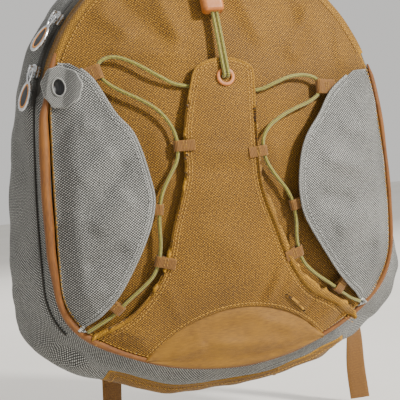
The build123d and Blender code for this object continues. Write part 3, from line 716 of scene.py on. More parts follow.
POCKET_LEFT = [(-120, -127), (-106, -142), (-93, -170), (-80, -190), (-72, -225), (-71, -246), (-80, -272),
               (-98, -305), (-114, -325), (-134, -341)]
POCKET_RIGHT = [(116, -153), (92, -168), (77, -187), (62, -205), (54, -228), (52, -250), (57, -272),
                (78, -308), (93, -328), (119, -353)]
PORT = np.array([-130.5, -145.0])
POCKET_FOLDS = {
    -1: (((-96, -196), (-128, -222), 8, 3.6), ((-84, -236), (-120, -262), 9, 3.8),
         ((-120, -176), (-104, -182), 6, 2.4), ((-92, -276), (-128, -290), 7, -3.2),
         ((-130, -240), (-146, -290), 7, 2.8), ((-112, -304), (-138, -316), 6, 2.6),
         ((-148, -196), (-118, -166), 4, -2.8), ((-86, -208), (-112, -236), 5, -2.6)),
    1: (((70, -220), (118, -238), 8, 3.8), ((66, -252), (104, -262), 7, -3.4),
        ((80, -284), (122, -272), 9, 3.6), ((92, -196), (126, -208), 7, 2.8),
        ((96, -312), (126, -300), 6, -2.8), ((110, -168), (122, -196), 5, 2.2)),
}


def pocket_rise(away):
    """Smooth height of a pocket's cloth over the front at a distance from the sewn edge."""
    return 1.4 + 9.6 * smooth_step(away / 17) + 3.0 * smooth_step((away - 10) / 40)


def pocket_height(xz, side):
    away = edge_distance(xz)
    creases = folds(xz, POCKET_FOLDS[side]) * smooth_step(away / 14)
    return pocket_rise(away) + creases + 1.2 * noise_at(xz, 24, 9.0 + side)


def in_port(xz, grow=0.0):
    x, z = ((xz[..., k] - PORT[k]) / (PORT_REACH[k] + grow) for k in range(2))
    return x**2 + z**2 < 1


def side_pocket(side, corners):
    name = "left" if side < 0 else "right"
    inner = curve_through(corners, 110)
    rim = outline(grown(FRONT, -2.6))
    rim = rim[(rim[:, 0] * side > 0) & (rim[:, 1] < inner[0, 1] + 4) & (rim[:, 1] > inner[-1, 1] - 2)]
    rim = respaced(rim[np.argsort(-rim[:, 1])], 110)
    s = np.linspace(0, 1, 46)[None, :, None]
    xz = (1 - s) * inner[:, None] + s * rim[:, None]
    keep = None
    if side < 0:
        middle = (xz[1:, 1:] + xz[:-1, :-1]) / 2
        keep = ~in_port(middle, 1.2)
    height = pocket_height(xz, side)
    height[:, 0] -= 1.2
    if side > 0:
        xz, height = xz[::-1], height[::-1]
    piece = grid_piece(f"pocket_shell_{name}", on_dome(xz, height), "grey_weave", uv=xz * MM, keep=keep)
    thicken(piece, 1.8)
    put(piece, "grey_weave", "pack", f"pocket_{name}")
    hem = inner[4:-4]
    edge = inset_line(respaced(hem, 200), 0.4 * side)
    rolled = tube(f"pocket_hem_{name}", on_dome(edge, pocket_height(edge, side) - 1.0), 1.15, "grey_weave", 8)
    put(rolled, "grey_weave")
    row = inset_line(respaced(hem, 300), 3.6 * -side)
    sewn = dome_row(row, pocket_height(row, side) + 0.15)
    put(stitches(f"pocket_stitching_{name}", [sewn], "thread_grey"), "grey_weave")


def cable_port():
    """Reinforcing patch with an eyelet at the top of the left pocket; it laps over the piping. A dark lined
    well sunk in the eyelet is painted shade.
    """
    angles = np.linspace(0, 2 * math.pi, 64, endpoint=False)
    hole = PORT + np.stack([PORT_REACH[0] * np.cos(angles), PORT_REACH[1] * np.sin(angles)], axis=-1)
    scallop = 1 + 0.03 * np.cos(9 * angles)
    reach = np.where(np.cos(angles) > 0, 17.0, 12.0) * scallop
    outer = PORT + np.stack([reach * np.cos(angles), 17.0 * scallop * np.sin(angles)], axis=-1)
    t = np.linspace(0, 1, 16)[:, None, None]
    xz = (1 - t) * hole[None] + t * outer[None]
    radius = np.hypot(xz[..., 0], xz[..., 1] - ARCH_Z)
    away = np.maximum(0.0, FRONT[0] - 3.2 - radius)
    on_pocket = pocket_rise(away) + 1.2 * noise_at(xz, 24, 8.0)
    over_piping = 4.8 - 12.0 * smooth_step((radius - 143.5) / 6)
    height = np.where(radius < 143.5, np.maximum(on_pocket, over_piping), over_piping) + 1.1
    height[-1] -= 0.8
    patch = grid_piece("port_patch", on_dome(xz, height), "grey_weave", closed_u=True,
                       uv=wrapped(xz) * 1.5)
    thicken(patch, 1.2)
    put(patch, "grey_weave")
    lift = height[0]
    ring = on_dome(hole, lift + 0.2)
    put(tube("port_rim", np.vstack([ring, ring[:1]]), 0.75, "thread_grey", 8, caps=False), "grey_weave")
    # painted shade: a dark lined well and floor inside the eyelet stand for the shade in the hole
    depth = np.linspace(0, 1, 6)[:, None]
    well = on_dome(np.repeat(hole[None], 6, axis=0), (1 - depth) * lift[None] + depth * 1.6)
    floor = np.repeat(np.mean(well[-1:], axis=1, keepdims=True), 64, axis=1)
    well = np.concatenate([well, floor], axis=0)
    put(grid_piece("port_shade_well", well, "lining", closed_u=True), "lining")


def ring_shell(name, rings, thick, material, *stands_for):
    piece = grid_piece(name, np.array(rings), material)
    thicken(piece, thick)
    put(piece, material, "pack", *stands_for)


def piping(ring, normals):
    """Piping round the lower part of the front: plumper and less even on the left."""
    low = ring[:, 1] < np.where(ring[:, 0] < 0, LEFT_PIPING_TOP, RIGHT_PIPING_TOP)
    line, out = ring[low], normals[low]
    along = steps_along(line)
    share = along / along[-1]
    ends = smooth_step(np.minimum(share, 1 - share) * 60)
    leftness = smooth_step((share - 0.52) / 0.2)
    swell = leftness * smooth_step((line[:, 1] + 310) / 40) * smooth_step((-line[:, 1] - 150) / 20)
    plump = (2.0 + 1.2 * leftness + 0.8 * swell + 0.3 * np.sin(share * 31) * leftness
             + 0.5 * noise_at(line, 30, 2.0))
    sway = 2.8 * swell + 0.5 * np.sin(share * 37 + 1.0) * leftness + 0.7 * noise_at(line, 44, 6.0)
    centre = line + out * (sway[:, None] + 0.5)
    points = on_dome(centre, 0.6)
    piece = tube("piping_cord", points, plump * (0.35 + 0.65 * ends), "piping_orange", 14)
    put(piece, "piping_orange", "pack", "piping")
    put(stitches("piping_stitching", [dome_row(line - out * 3.0, 1.6)], "thread", 3.6), "piping_orange")


def front_wall(ring, normals):
    """Cloth that closes the side between the piping and the seam of the flared sides."""
    lower = ring[:, 1] < PIPING_TOP + 5
    line, out = ring[lower], normals[lower]
    top = on_dome(line, -0.6)[:, 1]
    rings = []
    for share_down in np.linspace(0, 1, 9):
        place = line + out * (0.4 + 1.8 * math.sin(math.pi * share_down))
        y = top + (SEAM_Y + 1.5 - top) * share_down
        slack = 0.9 * noise_at(np.stack([place[:, 0], y * 2, place[:, 1]], axis=-1), 22, 5.0)
        place = place + out * slack[:, None]
        rings.append(np.stack([place[:, 0], y, place[:, 1]], axis=-1))
    ring_shell("front_wall", rings, 1.4, "grey_weave")


def zip_facing(ring, normals):
    """Plain binding beside the zip over the arch, turned over the front's edge."""
    order = np.roll(np.arange(len(ring)), len(ring) // 2)
    high = order[ring[order][:, 1] > PIPING_TOP - 3]
    line, out = ring[high], normals[high]
    profile = ((-6.0, 0.0, 0.2), (-4.6, 0.0, 1.0), (-1.2, 0.0, 1.0), (1.0, 0.06, 0.4), (2.2, 0.25, 0.0),
               (2.6, 0.5, 0.0), (2.5, 0.8, 0.0), (2.8, 1.05, 0.0), (3.6, 1.25, 0.0), (4.6, 1.42, 0.0))
    rings = []
    for reach, share_down, proud in profile:
        place = line + out * reach
        top = on_dome(line, 0.0)[:, 1]
        y = top + (SEAM_Y - top) * share_down - proud + 0.5 * noise_at(place, 18, 4.0)
        rings.append(np.stack([place[:, 0], y, place[:, 1]], axis=-1))
    ring_shell("zip_facing_shell", rings, 1.2, "mustard_weave", "zip_facing")
    put(stitches("facing_stitching", [dome_row(line - out * 5.6, 0.8)], "thread"), "mustard_weave")


# ---- sides, base and back -----------------------------------------------------------------------------
def body_grid():
    """Flared sides of the pack as rings of points, front to back."""
    sections = []
    for y, section in ((SEAM_Y - 5, grown(FRONT, 0.8)), (SEAM_Y, grown(FRONT, 0.5)), (SHOULDER_Y, SHOULDER),
                       (BELLY_Y, BELLY), (-22, grown(BELLY, -6)), (0, BACK)):
        ring = outline(section)
        sections.append(np.stack([ring[:, 0], np.full(len(ring), y), ring[:, 1]], axis=-1))
    s = np.array(sections, float)
    ends = np.concatenate([2 * s[:1] - s[1:2], s, 2 * s[-1:] - s[-2:-1]])
    rows = []
    rows_per_span = 9
    for a, b, c, d in zip(ends, ends[1:], ends[2:], ends[3:]):
        for t in np.linspace(0, 1, rows_per_span, endpoint=False):
            rows.append(0.5 * (2 * b + (c - a) * t + (2 * a - 5 * b + 4 * c - d) * t**2
                               + (3 * b - a - 3 * c + d) * t**3))
    rows.append(s[-1])
    return np.array(rows)


# Folds in the side cloth: start, end, width and height in mm (below 0 for a furrow).
SIDE_FOLDS = (
    ((-150, -62, -352), (-118, -82, -388), 7, -7.5), ((-140, -62, -372), (-112, -78, -398), 5, 4.5),
    ((-128, -60, -396), (-92, -78, -398), 6, -6.0), ((-170, -56, -300), (-172, -30, -350), 8, 3.0),
    ((150, -60, -372), (110, -76, -392), 6, -3.4), ((168, -52, -300), (150, -76, -330), 7, 2.6),
    ((158, -70, -240), (160, -40, -262), 6, -2.4), ((-154, -70, -200), (-160, -36, -236), 7, 2.2),
    ((60, -74, -398), (-20, -76, -402), 5, 2.4), ((172, -40, -318), (166, -20, -352), 6, -3.0),
)


def body_creases(grid):
    """How far the side cloth stands in or out of its ruled shape, in mm."""
    x, y, z = grid[..., 0], grid[..., 1], grid[..., 2]
    slack = smooth_step((y - SEAM_Y) / 12) * smooth_step(-y / 10)
    low = smooth_step((-z - 300) / 60)
    across = np.stack([x * 0.35 + z, y * 1.5], axis=-1)
    broad = 3.4 * noise_at(grid, 46, 1.7)
    fine = (1.2 + 1.6 * low) * noise_at(across, 17, 7.7)
    deep = 0
    for start, end, width, height in SIDE_FOLDS:
        a, b = np.array(start, float), np.array(end, float)
        d = b - a
        t = np.clip(((grid - a) @ d) / (d @ d), 0, 1)
        off = np.linalg.norm(grid - (a + t[..., None] * d), axis=-1)
        deep = deep + height * np.exp(-((off / width) ** 2)) * smooth_step((0.5 - np.abs(t - 0.5)) * 4 + 0.2)
    return (broad + fine) * slack + deep * slack


def zip_share(z):
    """1 where the zip runs open over the arch, 0 where the cloth closes over it."""
    return smooth_step((z + 158) / 14)


def gusset():
    grid = body_grid()
    normals = np.stack([outward(row[:, (0, 2)]) for row in grid])
    x, y, z = grid[..., 0], grid[..., 1], grid[..., 2]
    out = body_creases(grid)
    on_zip = (z > -345) & (x < 40) | (z > -145)
    groove = np.exp(-(((y - ZIP_Y) / 2.0) ** 2)) * on_zip
    shut = 1 - zip_share(z)
    lips = np.exp(-(((np.abs(y - ZIP_Y) - 3.6) / 2.0) ** 2)) * on_zip * shut
    calm = 1 - 0.8 * np.exp(-(((y - ZIP_Y) / 6.0) ** 2)) * on_zip
    out = out * calm - 1.4 * groove * shut + 0.9 * lips
    out = np.where(zip_share(z) * (np.abs(y - ZIP_Y) < 8) > 0.5, np.minimum(out, 0.0), out)
    grid[..., 0] += normals[..., 0] * out
    grid[..., 2] += normals[..., 1] * out
    piece = grid_piece("side_shell", grid, "grey_weave", closed_u=True)
    thicken(piece, 2.0)
    put(piece, "grey_weave", "pack", "side_gusset")
    base(grid, normals)


def base(grid, normals):
    """Base panel: laid over the gusset's underside, with a felled seam round it."""
    middle = grid.shape[1] // 2
    reach = int(np.sum(np.abs(grid[len(grid) // 2, middle - 45:middle, 0]) < 111))
    rows = np.where((grid[:, middle, 1] > -71) & (grid[:, middle, 1] < -0.5))[0]
    part = grid[rows[0]:rows[-1] + 1, middle - reach:middle + reach + 1].copy()
    out = normals[rows[0]:rows[-1] + 1, middle - reach:middle + reach + 1]
    along, across = (np.sin(np.linspace(0, math.pi, count)) for count in part.shape[:2])
    seam = along[:, None] * across[None]
    lift = 0.5 + 1.1 * smooth_step(seam * 4) + 1.5 * noise_at(part, 20, 3.3) * smooth_step(seam * 2)
    part[..., 0] += out[..., 0] * lift
    part[..., 2] += out[..., 1] * lift
    piece = grid_piece("base_shell", part, "mustard_weave")
    thicken(piece, 1.4)
    put(piece, "mustard_weave", "pack", "base_panel")
    edge = np.vstack([part[2, 2:-2], part[2:-2, -3], part[-3, 2:-2][::-1], part[2:-2, 2][::-1]])
    flat = np.zeros_like(edge)
    flat[:, 2] = -1
    rows = [(respaced(edge, 500) + (0, 0, -0.3), respaced(flat, 500))]
    across = part[:, part.shape[1] // 2 - 12]
    rows.append((respaced(across, 60) + (0, 0, -0.3), np.tile((0.0, 0.0, -1.0), (60, 1))))
    put(stitches("base_stitching", rows, "thread"), "mustard_weave")


def zip_ring(y, height, low_left=-345, low_right=-145):
    """Line on the zip band from the left side over the top to the right side, with its outward normals."""
    share = (y - SEAM_Y) / (SHOULDER_Y - SEAM_Y)
    a, b = outline(grown(FRONT, 0.5)), outline(SHOULDER)
    ring = a + (b - a) * share
    out = outward(ring)
    order = np.roll(np.arange(len(ring)), len(ring) // 2)
    ring, out = ring[order], out[order]
    use = ((ring[:, 0] < 0) & (ring[:, 1] > low_left)) | ((ring[:, 0] >= 0) & (ring[:, 1] > low_right))
    ring, out = ring[use], out[use]
    x, z = ring[:, 0] + out[:, 0] * height, ring[:, 1] + out[:, 1] * height
    points = np.stack([x, np.full(len(ring), y), z], axis=-1)
    return points, np.stack([out[:, 0], np.full(len(out), -0.5), out[:, 1]], axis=-1)


TAPE_PROFILE = ((-89.5, 0.4), (-87.8, 1.0), (-86, 1.2), (-84, 0.9), (-82, 1.2), (-80.2, 1.0), (-78.8, 0.2))
TOOTH_PITCH = 1.45
COIL_HALF_WIDTH = 2.7


def main_zip():
    """Zip tapes, the slit between them where the cloth closes over, and the coil over the arch."""
    tapes = []
    for y, height in TAPE_PROFILE:
        line, out = (respaced(part, 360) for part in zip_ring(y, 0.0))
        tight = zip_share(line[:, 2])[:, None]
        middle = respaced(zip_ring(ZIP_Y, 0.0)[0], 360)
        line = middle + (line - middle) * (0.12 + 0.88 * tight) + out * (height * tight - 1.2 * (1 - tight))
        tapes.append(line)
    tape = grid_piece("zip_tapes", np.array(tapes), "zip_tape")
    thicken(tape, 0.8)
    put(tape, "zip_tape", "pack", "main_zip")
    line, out = zip_ring(ZIP_Y, 0.5)
    closed = (line[:, 0] < 0) & (line[:, 2] < -150)
    put(tube("zip_slit", respaced(line[closed], 140), 0.9, "zip_tape", 8), "zip_tape")
    line, out = zip_ring(ZIP_Y, 0.0, low_left=-160, low_right=-144)
    length = steps_along(line)[-1]
    per_tooth = 4
    count = int(length / TOOTH_PITCH) * per_tooth
    line, out = respaced(line, count), respaced(out, count)
    out /= np.linalg.norm(out, axis=-1)[:, None]
    tangents = np.gradient(line, axis=0)
    tangents /= np.linalg.norm(tangents, axis=-1)[:, None]
    side = np.cross(out, tangents)
    ridge = 0.5 + 0.5 * np.cos(np.arange(count) * 2 * math.pi / per_tooth)
    grid = []
    for across in np.linspace(-1, 1, 9):
        seam = 0.72 if abs(across) < 0.2 else 1.0
        rise = 1.3 + (1.0 + 0.55 * ridge) * math.sqrt(max(0.0, 1 - across**4)) * seam
        grid.append(line + side * (COIL_HALF_WIDTH * across) + out * rise[:, None])
    coil = grid_piece("zip_coil", np.array(grid), "zip_tape")
    put(coil, "zip_tape")


front_panel()
lower_panel()
tongue()
side_pocket(-1, POCKET_LEFT)
side_pocket(1, POCKET_RIGHT)
cable_port()
front_ring = outline(FRONT)
for edging in (piping, front_wall, zip_facing):
    edging(front_ring, outward(front_ring))
gusset()
main_zip()


# ---- cords and the loops that hold them -----------------------------------------------------------
LACE_LEFT = [
    (-20, -155, 2.2), (-37, -154.5, 2.4), (-54, -144, 7), (-72, -131, 7), (-88, -124, 7), (-101, -130, 7),
    (-98, -143, 7), (-85, -153, 7), (-69, -162, 7), (-55, -173, 7), (-45.5, -191, 7), (-46, -211, 7),
    (-55, -224, 7), (-63.5, -239, 7), (-66.5, -259, 7), (-66, -280, 7), (-71.5, -300, 7), (-84, -311, 7),
    (-96, -320, 7), (-108, -331, 7), (-119, -337, 6), (-127, -342, 4.6),
]
LACE_RIGHT = [
    (9, -162, 2.2), (28, -163.5, 2.4), (42, -158, 7), (58, -153, 7), (73, -153.5, 7), (83, -158.5, 7),
    (82, -170, 7), (70, -176.5, 7), (57, -180, 7), (42, -186, 7), (30, -193.5, 7), (24, -204, 7),
    (25, -219, 7), (33, -233, 7), (44.5, -248, 7), (49, -268, 7), (47.5, -287, 7), (52, -306, 7),
    (64, -318, 7), (80, -329.5, 7), (93, -339.5, 6), (103, -346.5, 5), (111.5, -350, 4.2),
]
# Folded webbing round a lace: distance towards the sewn tail, and height.
LOOP_FOLD = [(13.5, 2.5), (9, 2.6), (5, 2.6), (2.2, 2.6), (-0.6, 2.7), (-2.5, 1.3), (-2.6, -1.0), (-0.8, -2.5),
             (2.0, -2.0), (5, 0.2), (9, 1.2), (13.5, 1.3)]
# Loops: the run of the lace each one holds, and the side its tail lies on.
LEFT_LOOPS = ((10, 1), (13, -1), (15, 1), (18, -1))
RIGHT_LOOPS = ((11, -1), (14, 1), (16, -1), (19, 1))


def route_points(route):
    return [on_dome(np.array(p[:2], float), p[2]) for p in route]


def cord(name, points, stands_for):
    """Length of bungee held at both ends."""
    line = route_line(points)
    piece = tube(name, line, BUNGEE / 2, "bungee", 12)
    put(piece, "bungee", "pack", stands_for)


def lace_loops(name, route, places, node, width=8.6):
    """Folded webbing loops: each goes round the lace and is sewn down at its tail."""
    points = route_points(route)
    made = []
    rows = []
    for index, side in places:
        start, end = points[index], points[index + 1]
        centre = (start + end) / 2
        along = (end - start) / np.linalg.norm(end - start)
        normal = dome_normals(centre[None])[0]
        across = np.cross(normal, along)
        across /= np.linalg.norm(across)
        shape = curve_through(LOOP_FOLD, 44)
        line = centre + shape[:, :1] * side * across + shape[:, 1:] * normal
        made.append((line, np.tile(along, (len(line), 1))))
        for reach in (4.4, 6.6):
            seam = centre + side * across * reach + normal * 3.3 + along * np.linspace(-3.6, 3.6, 12)[:, None]
            rows.append((seam, np.tile(normal, (12, 1))))
    for number, (line, widths) in enumerate(made):
        piece = ribbon(f"{name}_{number + 1}", line, widths, width, 1.0, "webbing_mustard")
        put(piece, "webbing_mustard")
        if number == 0:
            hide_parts(node)
    put(stitches(f"{name}_stitching", rows, "thread", 2.2, 1.7, 0.28), "webbing_mustard")


def double_cord_line():
    """Upper end of the double bungee and the place where it turns down into the grommet."""
    return on_dome(np.array(CORD_TOP_XZ), CORD_LIFT), on_dome(np.array(GROMMET_XZ), CORD_BEND_LIFT)


def cords():
    cord("lace_cord_left", route_points(LACE_LEFT), "lace_left")
    cord("lace_cord_right", route_points(LACE_RIGHT), "lace_right")
    lace_loops("loops_left", LACE_LEFT, LEFT_LOOPS, "lace_loops_left")
    lace_loops("loops_right", LACE_RIGHT, RIGHT_LOOPS, "lace_loops_right")
    for name, route, place in (("left", LACE_LEFT, (5, -1)), ("right", LACE_RIGHT, (5, 1))):
        lace_loops(f"tab_{name}", route, (place,), f"pocket_tab_{name}", 12.0)
    top, bend = double_cord_line()
    end = on_dome(np.array(GROMMET_XZ), 3.2)
    for name, side in (("left", -STRAND_X), ("right", STRAND_X)):
        shift = np.array([side, 0, 0])
        straight = [top + (bend - top) * share + shift for share in (0.0, 0.5, 0.93)]
        cord(f"draw_cord_{name}", [*straight, bend + shift, end + shift], f"draw_strand_{name}")


def frame_at(xz, lift):
    """Centre, outward normal and two tangents of the domed front."""
    centre = on_dome(np.array(xz, float), lift)
    normal = dome_normals(centre[None])[0]
    side = np.cross(normal, (0, 0, 1.0))
    side /= np.linalg.norm(side)
    return centre, normal, side, np.cross(side, normal)


def turned_ring(name, xz, lift, profile, material, segments=48):
    """Ring lathed about the front's normal from a closed profile of (radius, height)."""
    centre, normal, side, up = frame_at(xz, lift)
    rings = []
    for radius, height in profile:
        a = np.linspace(0, 2 * math.pi, segments, endpoint=False)[:, None]
        rings.append(centre + radius * (np.cos(a) * side + np.sin(a) * up) + normal * height)
    return grid_piece(name, np.array(rings), material, closed_u=True, closed_v=True)


def round_profile(inner, outer, low, high, corner=0.45):
    """Closed profile of a ring's section with rounded corners."""
    points = []
    for x, y, start in ((outer - corner, high - corner, 0), (inner + corner, high - corner, 90),
                        (inner + corner, low + corner, 180), (outer - corner, low + corner, 270)):
        for a in np.radians(np.linspace(start, start + 90, 5)):
            points.append((x + corner * math.cos(a), y + corner * math.sin(a)))
    return points


# CAD nodes that show as they are, by the material each gets.
CARRIED_OVER = {
    "tan_plastic": ("grommet_washer", "lock_body", "lock_plunger"),
    "spring_steel": ("lock_spring",),
    "black_plastic": ("ladder_lock_left", "ladder_lock_right", "sternum_slider_left", "sternum_slider_right",
                      "buckle_female", "buckle_male"),
    "bladder_film": ("reservoir",),
    "cap_blue": ("reservoir_neck", "reservoir_cap", "reservoir_outlet"),
    "sheet_plastic": ("reservoir_hanger", "frame_sheet"),
    "lining": ("reservoir_sleeve",),
    "zip_metal": ("upper_slider", "lower_slider"),
}
BEVEL = 0.6


def hardware():
    """Grommet, cord lock and their companions."""
    piece = turned_ring("grommet_ring", GROMMET_XZ, 7.2, round_profile(4.4, 7.6, 0.1, 2.3, 0.9), "tan_plastic")
    put(piece, "tan_plastic", "pack", "grommet")
    for material, names in CARRIED_OVER.items():
        for name in names:
            finish_node(name, material)


def finish_node(name, material):
    """Carries a CAD node over with its own material and softened edges."""
    node = nodes[name]
    node.data.materials.clear()
    node.data.materials.append(MATERIALS[material])
    small = min(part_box(name)[1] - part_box(name)[0])
    modifier(node, "BEVEL", width=min(BEVEL * MM, small / 6), segments=2, limit_method="ANGLE",
             angle_limit=math.radians(40))


FLARE = (SHOULDER[0] - FRONT[0] - 0.5) / (SHOULDER_Y - SEAM_Y)
ZIP_RADIUS = FRONT[0] + 0.5 + FLARE * (ZIP_Y - SEAM_Y)
BAIL = 8.15                  # height of the pull's middle over the zip band
PULL_MIDDLE = 21.5           # distance of the pull's middle from the slider
# Sections of the pull's frame and of the ring inside it: half length, half width and height.
PULL_SECTION = ((12.5, 6.8, -0.2), (12.6, 6.9, 0.5), (12.1, 6.4, 1.1), (11.3, 5.7, 1.3), (10.3, 4.9, 1.0),
                (9.9, 4.6, 0.4), (9.9, 4.6, -0.4), (10.3, 4.9, -1.0), (11.3, 5.7, -1.3), (12.1, 6.4, -1.1),
                (12.6, 6.9, -0.5))
RING_SECTION = ((10.0, 4.7, 0.9), (9.2, 4.1, 1.15), (8.6, 3.6, 0.9),
                (8.6, 3.6, -0.9), (9.2, 4.1, -1.15), (10.0, 4.7, -0.9))


def zip_frame(angle):
    """Origin on the zip band, the direction down the left side, the band's normal and the cross direction."""
    a = math.radians(angle)
    radial = np.array([math.sin(a), 0, math.cos(a)])
    normal = radial + (0, -FLARE, 0)
    normal /= np.linalg.norm(normal)
    down = np.array([-math.cos(a), 0, math.sin(a)])
    origin = np.array([0, ZIP_Y, ARCH_Z]) + radial * ZIP_RADIUS
    return origin, down, normal, np.cross(normal, down)


def zip_hardware(name, angle):
    """Bright bail over a slider, and its teardrop pull: plated frame, orange ring and slate inlay."""
    origin, down, normal, cross = zip_frame(angle)

    def at(d, n, c=0.0):
        return origin + down * d + normal * n + cross * c

    arch = [at(-3.4, 5.4), at(-3.3, 7.6), at(-2.6, 9.6), at(-0.6, 10.6), at(1.6, 10.3), at(3.1, 8.9),
            at(3.4, 5.4)]
    bail = tube(f"{name}_bail", curve_through(arch, 30), 0.85, "zip_metal", 10)
    put(bail, "zip_metal", f"{name}_slider_body")
    turns = np.linspace(0, 2 * math.pi, 64, endpoint=False)
    widths = 1 + 0.16 * np.cos(turns)

    def drop(half_length, half_width, height):
        """Teardrop outline round the pull's middle, wider towards its free end."""
        reach = PULL_MIDDLE + half_length * np.cos(turns)
        across = half_width * np.sin(turns) * widths
        return origin + down * reach[:, None] + cross * across[:, None] + normal * height

    on_pull = f"{name}_pull_body"
    rim = np.array([drop(a, b, BAIL + h) for a, b, h in PULL_SECTION])
    put(grid_piece(f"{name}_pull_frame", rim, "zip_metal", closed_u=True, closed_v=True), "zip_metal", on_pull,
        f"{name}_pull")
    neck = [at(0.6, BAIL), at(3.6, BAIL + 0.3), at(6.4, BAIL + 0.2), at(9.4, BAIL)]
    for side in (-1, 1):
        legs = curve_through([p + cross * side * w for p, w in zip(neck, (2.9, 2.9, 2.2, 1.3))], 16)
        which = "left" if side < 0 else "right"
        put(tube(f"{name}_pull_leg_{which}", legs, 0.9, "zip_metal", 10), "zip_metal", on_pull)
    bar = np.linspace(at(0.6, BAIL, -3.0), at(0.6, BAIL, 3.0), 6)
    put(tube(f"{name}_pull_bar", bar, 0.85, "zip_metal", 10), "zip_metal", on_pull)
    ring = np.array([drop(a, b, BAIL + h) for a, b, h in RING_SECTION])
    put(grid_piece(f"{name}_pull_ring", ring, "pull_ring", closed_u=True, closed_v=True), "pull_inlay",
        on_pull)
    rings = [drop(8.7 * s, 3.7 * s, BAIL + 0.75 + 0.35 * (1 - s * s)) for s in (1.0, 0.85, 0.6, 0.3, 0.02)]
    backs = [drop(8.7 * s, 3.7 * s, BAIL - 0.75 - 0.35 * (1 - s * s)) for s in (0.02, 0.3, 0.6, 0.85, 1.0)]
    inlay = grid_piece(f"{name}_inlay", np.array(rings[::-1] + backs[::-1]), "pull_inlay", closed_u=True)
    put(inlay, "pull_inlay", on_pull, f"{name}_pull_inlay")


# ---- back, pads and straps ----------------------------------------------------------------------------
MATERIALS["piping_grey"] = plain_cloth("piping_grey", (92, 93, 92), (60, 61, 61), (140, 140, 138), 0.0009, 45,
                                       0.65)
MATERIALS["strap_weave"] = dobby("strap_weave", (150, 104, 28), (98, 64, 12), (214, 164, 66), 0.0021, 0.12)


def back_panel():
    rays = outline(grown(BACK, -0.6))
    xz = spread(rays, 60)
    rim = np.min(np.hypot(xz[..., None, 0] - rays[::4, 0], xz[..., None, 1] - rays[::4, 1]), axis=-1)
    y = 1.2 + 2.8 * smooth_step(rim / 10) + 0.8 * noise_at(xz, 30, 2.2) * smooth_step(rim / 20)
    grid = np.stack([xz[..., 0], y, xz[..., 1]], axis=-1)[:, ::-1]
    piece = grid_piece("back_shell", grid, "pad_mesh", closed_u=True)
    thicken(piece, 2.0)
    put(piece, "pad_mesh", "pack", "back_panel")
    edge = np.stack([rays[:, 0], np.full(len(rays), 0.6), rays[:, 1]], axis=-1)
    put(tube("back_binding", np.vstack([edge, edge[:2]]), 2.3, "piping_grey", 10, caps=False), "grey_weave")


PAD_SHRINK = 3.0             # mm a pad is taken in on every side before it is inflated
PAD_SWELL = 6.0              # mm it may swell at most
PAD_VOXEL = 4.5
PAD_PRESSURE = 4.0
CLOTH_STEPS = 20


def padded_from(node, name):
    """Soft pad from a CAD solid: remeshed, inflated as cloth and smoothed."""
    mesh = nodes[node].data.copy()
    piece = bpy.data.objects.new(name, mesh)
    bpy.context.scene.collection.objects.link(piece)
    low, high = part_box(node)
    middle = (low + high) / 2
    for v in mesh.vertices:
        for k in range(3):
            span = (high[k] - low[k]) / 2
            v.co[k] = middle[k] + (v.co[k] - middle[k]) * (1 - PAD_SHRINK * MM / span)
    modifier(piece, "REMESH", mode="VOXEL", voxel_size=PAD_VOXEL * MM)
    solid = applied(piece)
    start = np.array([v.co[:] for v in solid.vertices])
    cloth = piece.modifiers.new("cloth", "CLOTH")
    cloth.settings.use_pressure = True
    cloth.settings.uniform_pressure_force = PAD_PRESSURE
    cloth.settings.effector_weights.gravity = 0.0
    cloth.settings.quality = 5
    for number in range(1, CLOTH_STEPS + 1):
        bpy.context.scene.frame_set(number)
    swollen = applied(piece)
    moved = np.array([v.co[:] for v in swollen.vertices]) - start
    far = np.linalg.norm(moved, axis=1)
    moved *= np.minimum(1.0, PAD_SWELL * MM / np.maximum(far, 1e-9))[:, None]
    piece.data.vertices.foreach_set("co", (start + moved).ravel())
    bpy.context.scene.frame_set(1)
    piece.data.polygons.foreach_set("use_smooth", [True] * len(piece.data.polygons))
    piece.data.materials.clear()
    piece.data.materials.append(MATERIALS["pad_mesh"])
    modifier(piece, "SUBSURF", levels=1, render_levels=1)
    put(piece, "pad_mesh", "pack", node)


def applied(piece):
    """Bakes the piece's modifiers into its mesh and clears them."""
    graph = bpy.context.evaluated_depsgraph_get()
    mesh = bpy.data.meshes.new_from_object(piece.evaluated_get(graph))
    piece.modifiers.clear()
    piece.data = mesh
    return mesh


def rounded_path(x, z, width, height, radius, count=160):
    """Closed rounded rectangle in x and z."""
    points = []
    for cx, cz, start in ((x + width / 2 - radius, z + height / 2 - radius, 90),
                          (x + width / 2 - radius, z - height / 2 + radius, 0),
                          (x - width / 2 + radius, z - height / 2 + radius, -90),
                          (x - width / 2 + radius, z + height / 2 - radius, -180)):
        for a in np.radians(np.linspace(start, start - 90, 9)):
            points.append((cx + radius * math.cos(a), cz + radius * math.sin(a)))
    points.append(points[0])
    return respaced(np.array(points), count)


def back_pads():
    rows = []
    for node, name, x, z, width, height in (
            ("back_pad_left", "pad_left", -66, -205, 84, 190),
            ("back_pad_right", "pad_right", 66, -205, 84, 190),
            ("lumbar_pad", "pad_lumbar", 0, -352, 168, 62)):
        padded_from(node, name)
        path = rounded_path(x, z, width, height, 18)
        edge = np.stack([path[:, 0], np.full(len(path), 5.4), path[:, 1]], axis=-1)
        put(tube(f"{name}_binding", edge, 1.7, "piping_grey", 8, caps=False), "grey_weave")
        path = rounded_path(x, z, width + 6, height + 6, 20, 300)
        edge = np.stack([path[:, 0], np.full(len(path), 4.6), path[:, 1]], axis=-1)
        rows.append((edge, np.tile((0.0, 1.0, 0.0), (len(edge), 1))))
    put(stitches("pad_stitching", rows, "thread_grey"), "grey_weave")


STRAP_NEAR = [(6.6, -64), (24, -100), (34, -160), (34, -240), (25, -304)]
STRAP_FAR = [(6.6, -53), (33, -84), (44, -160), (44, -240), (35, -304)]


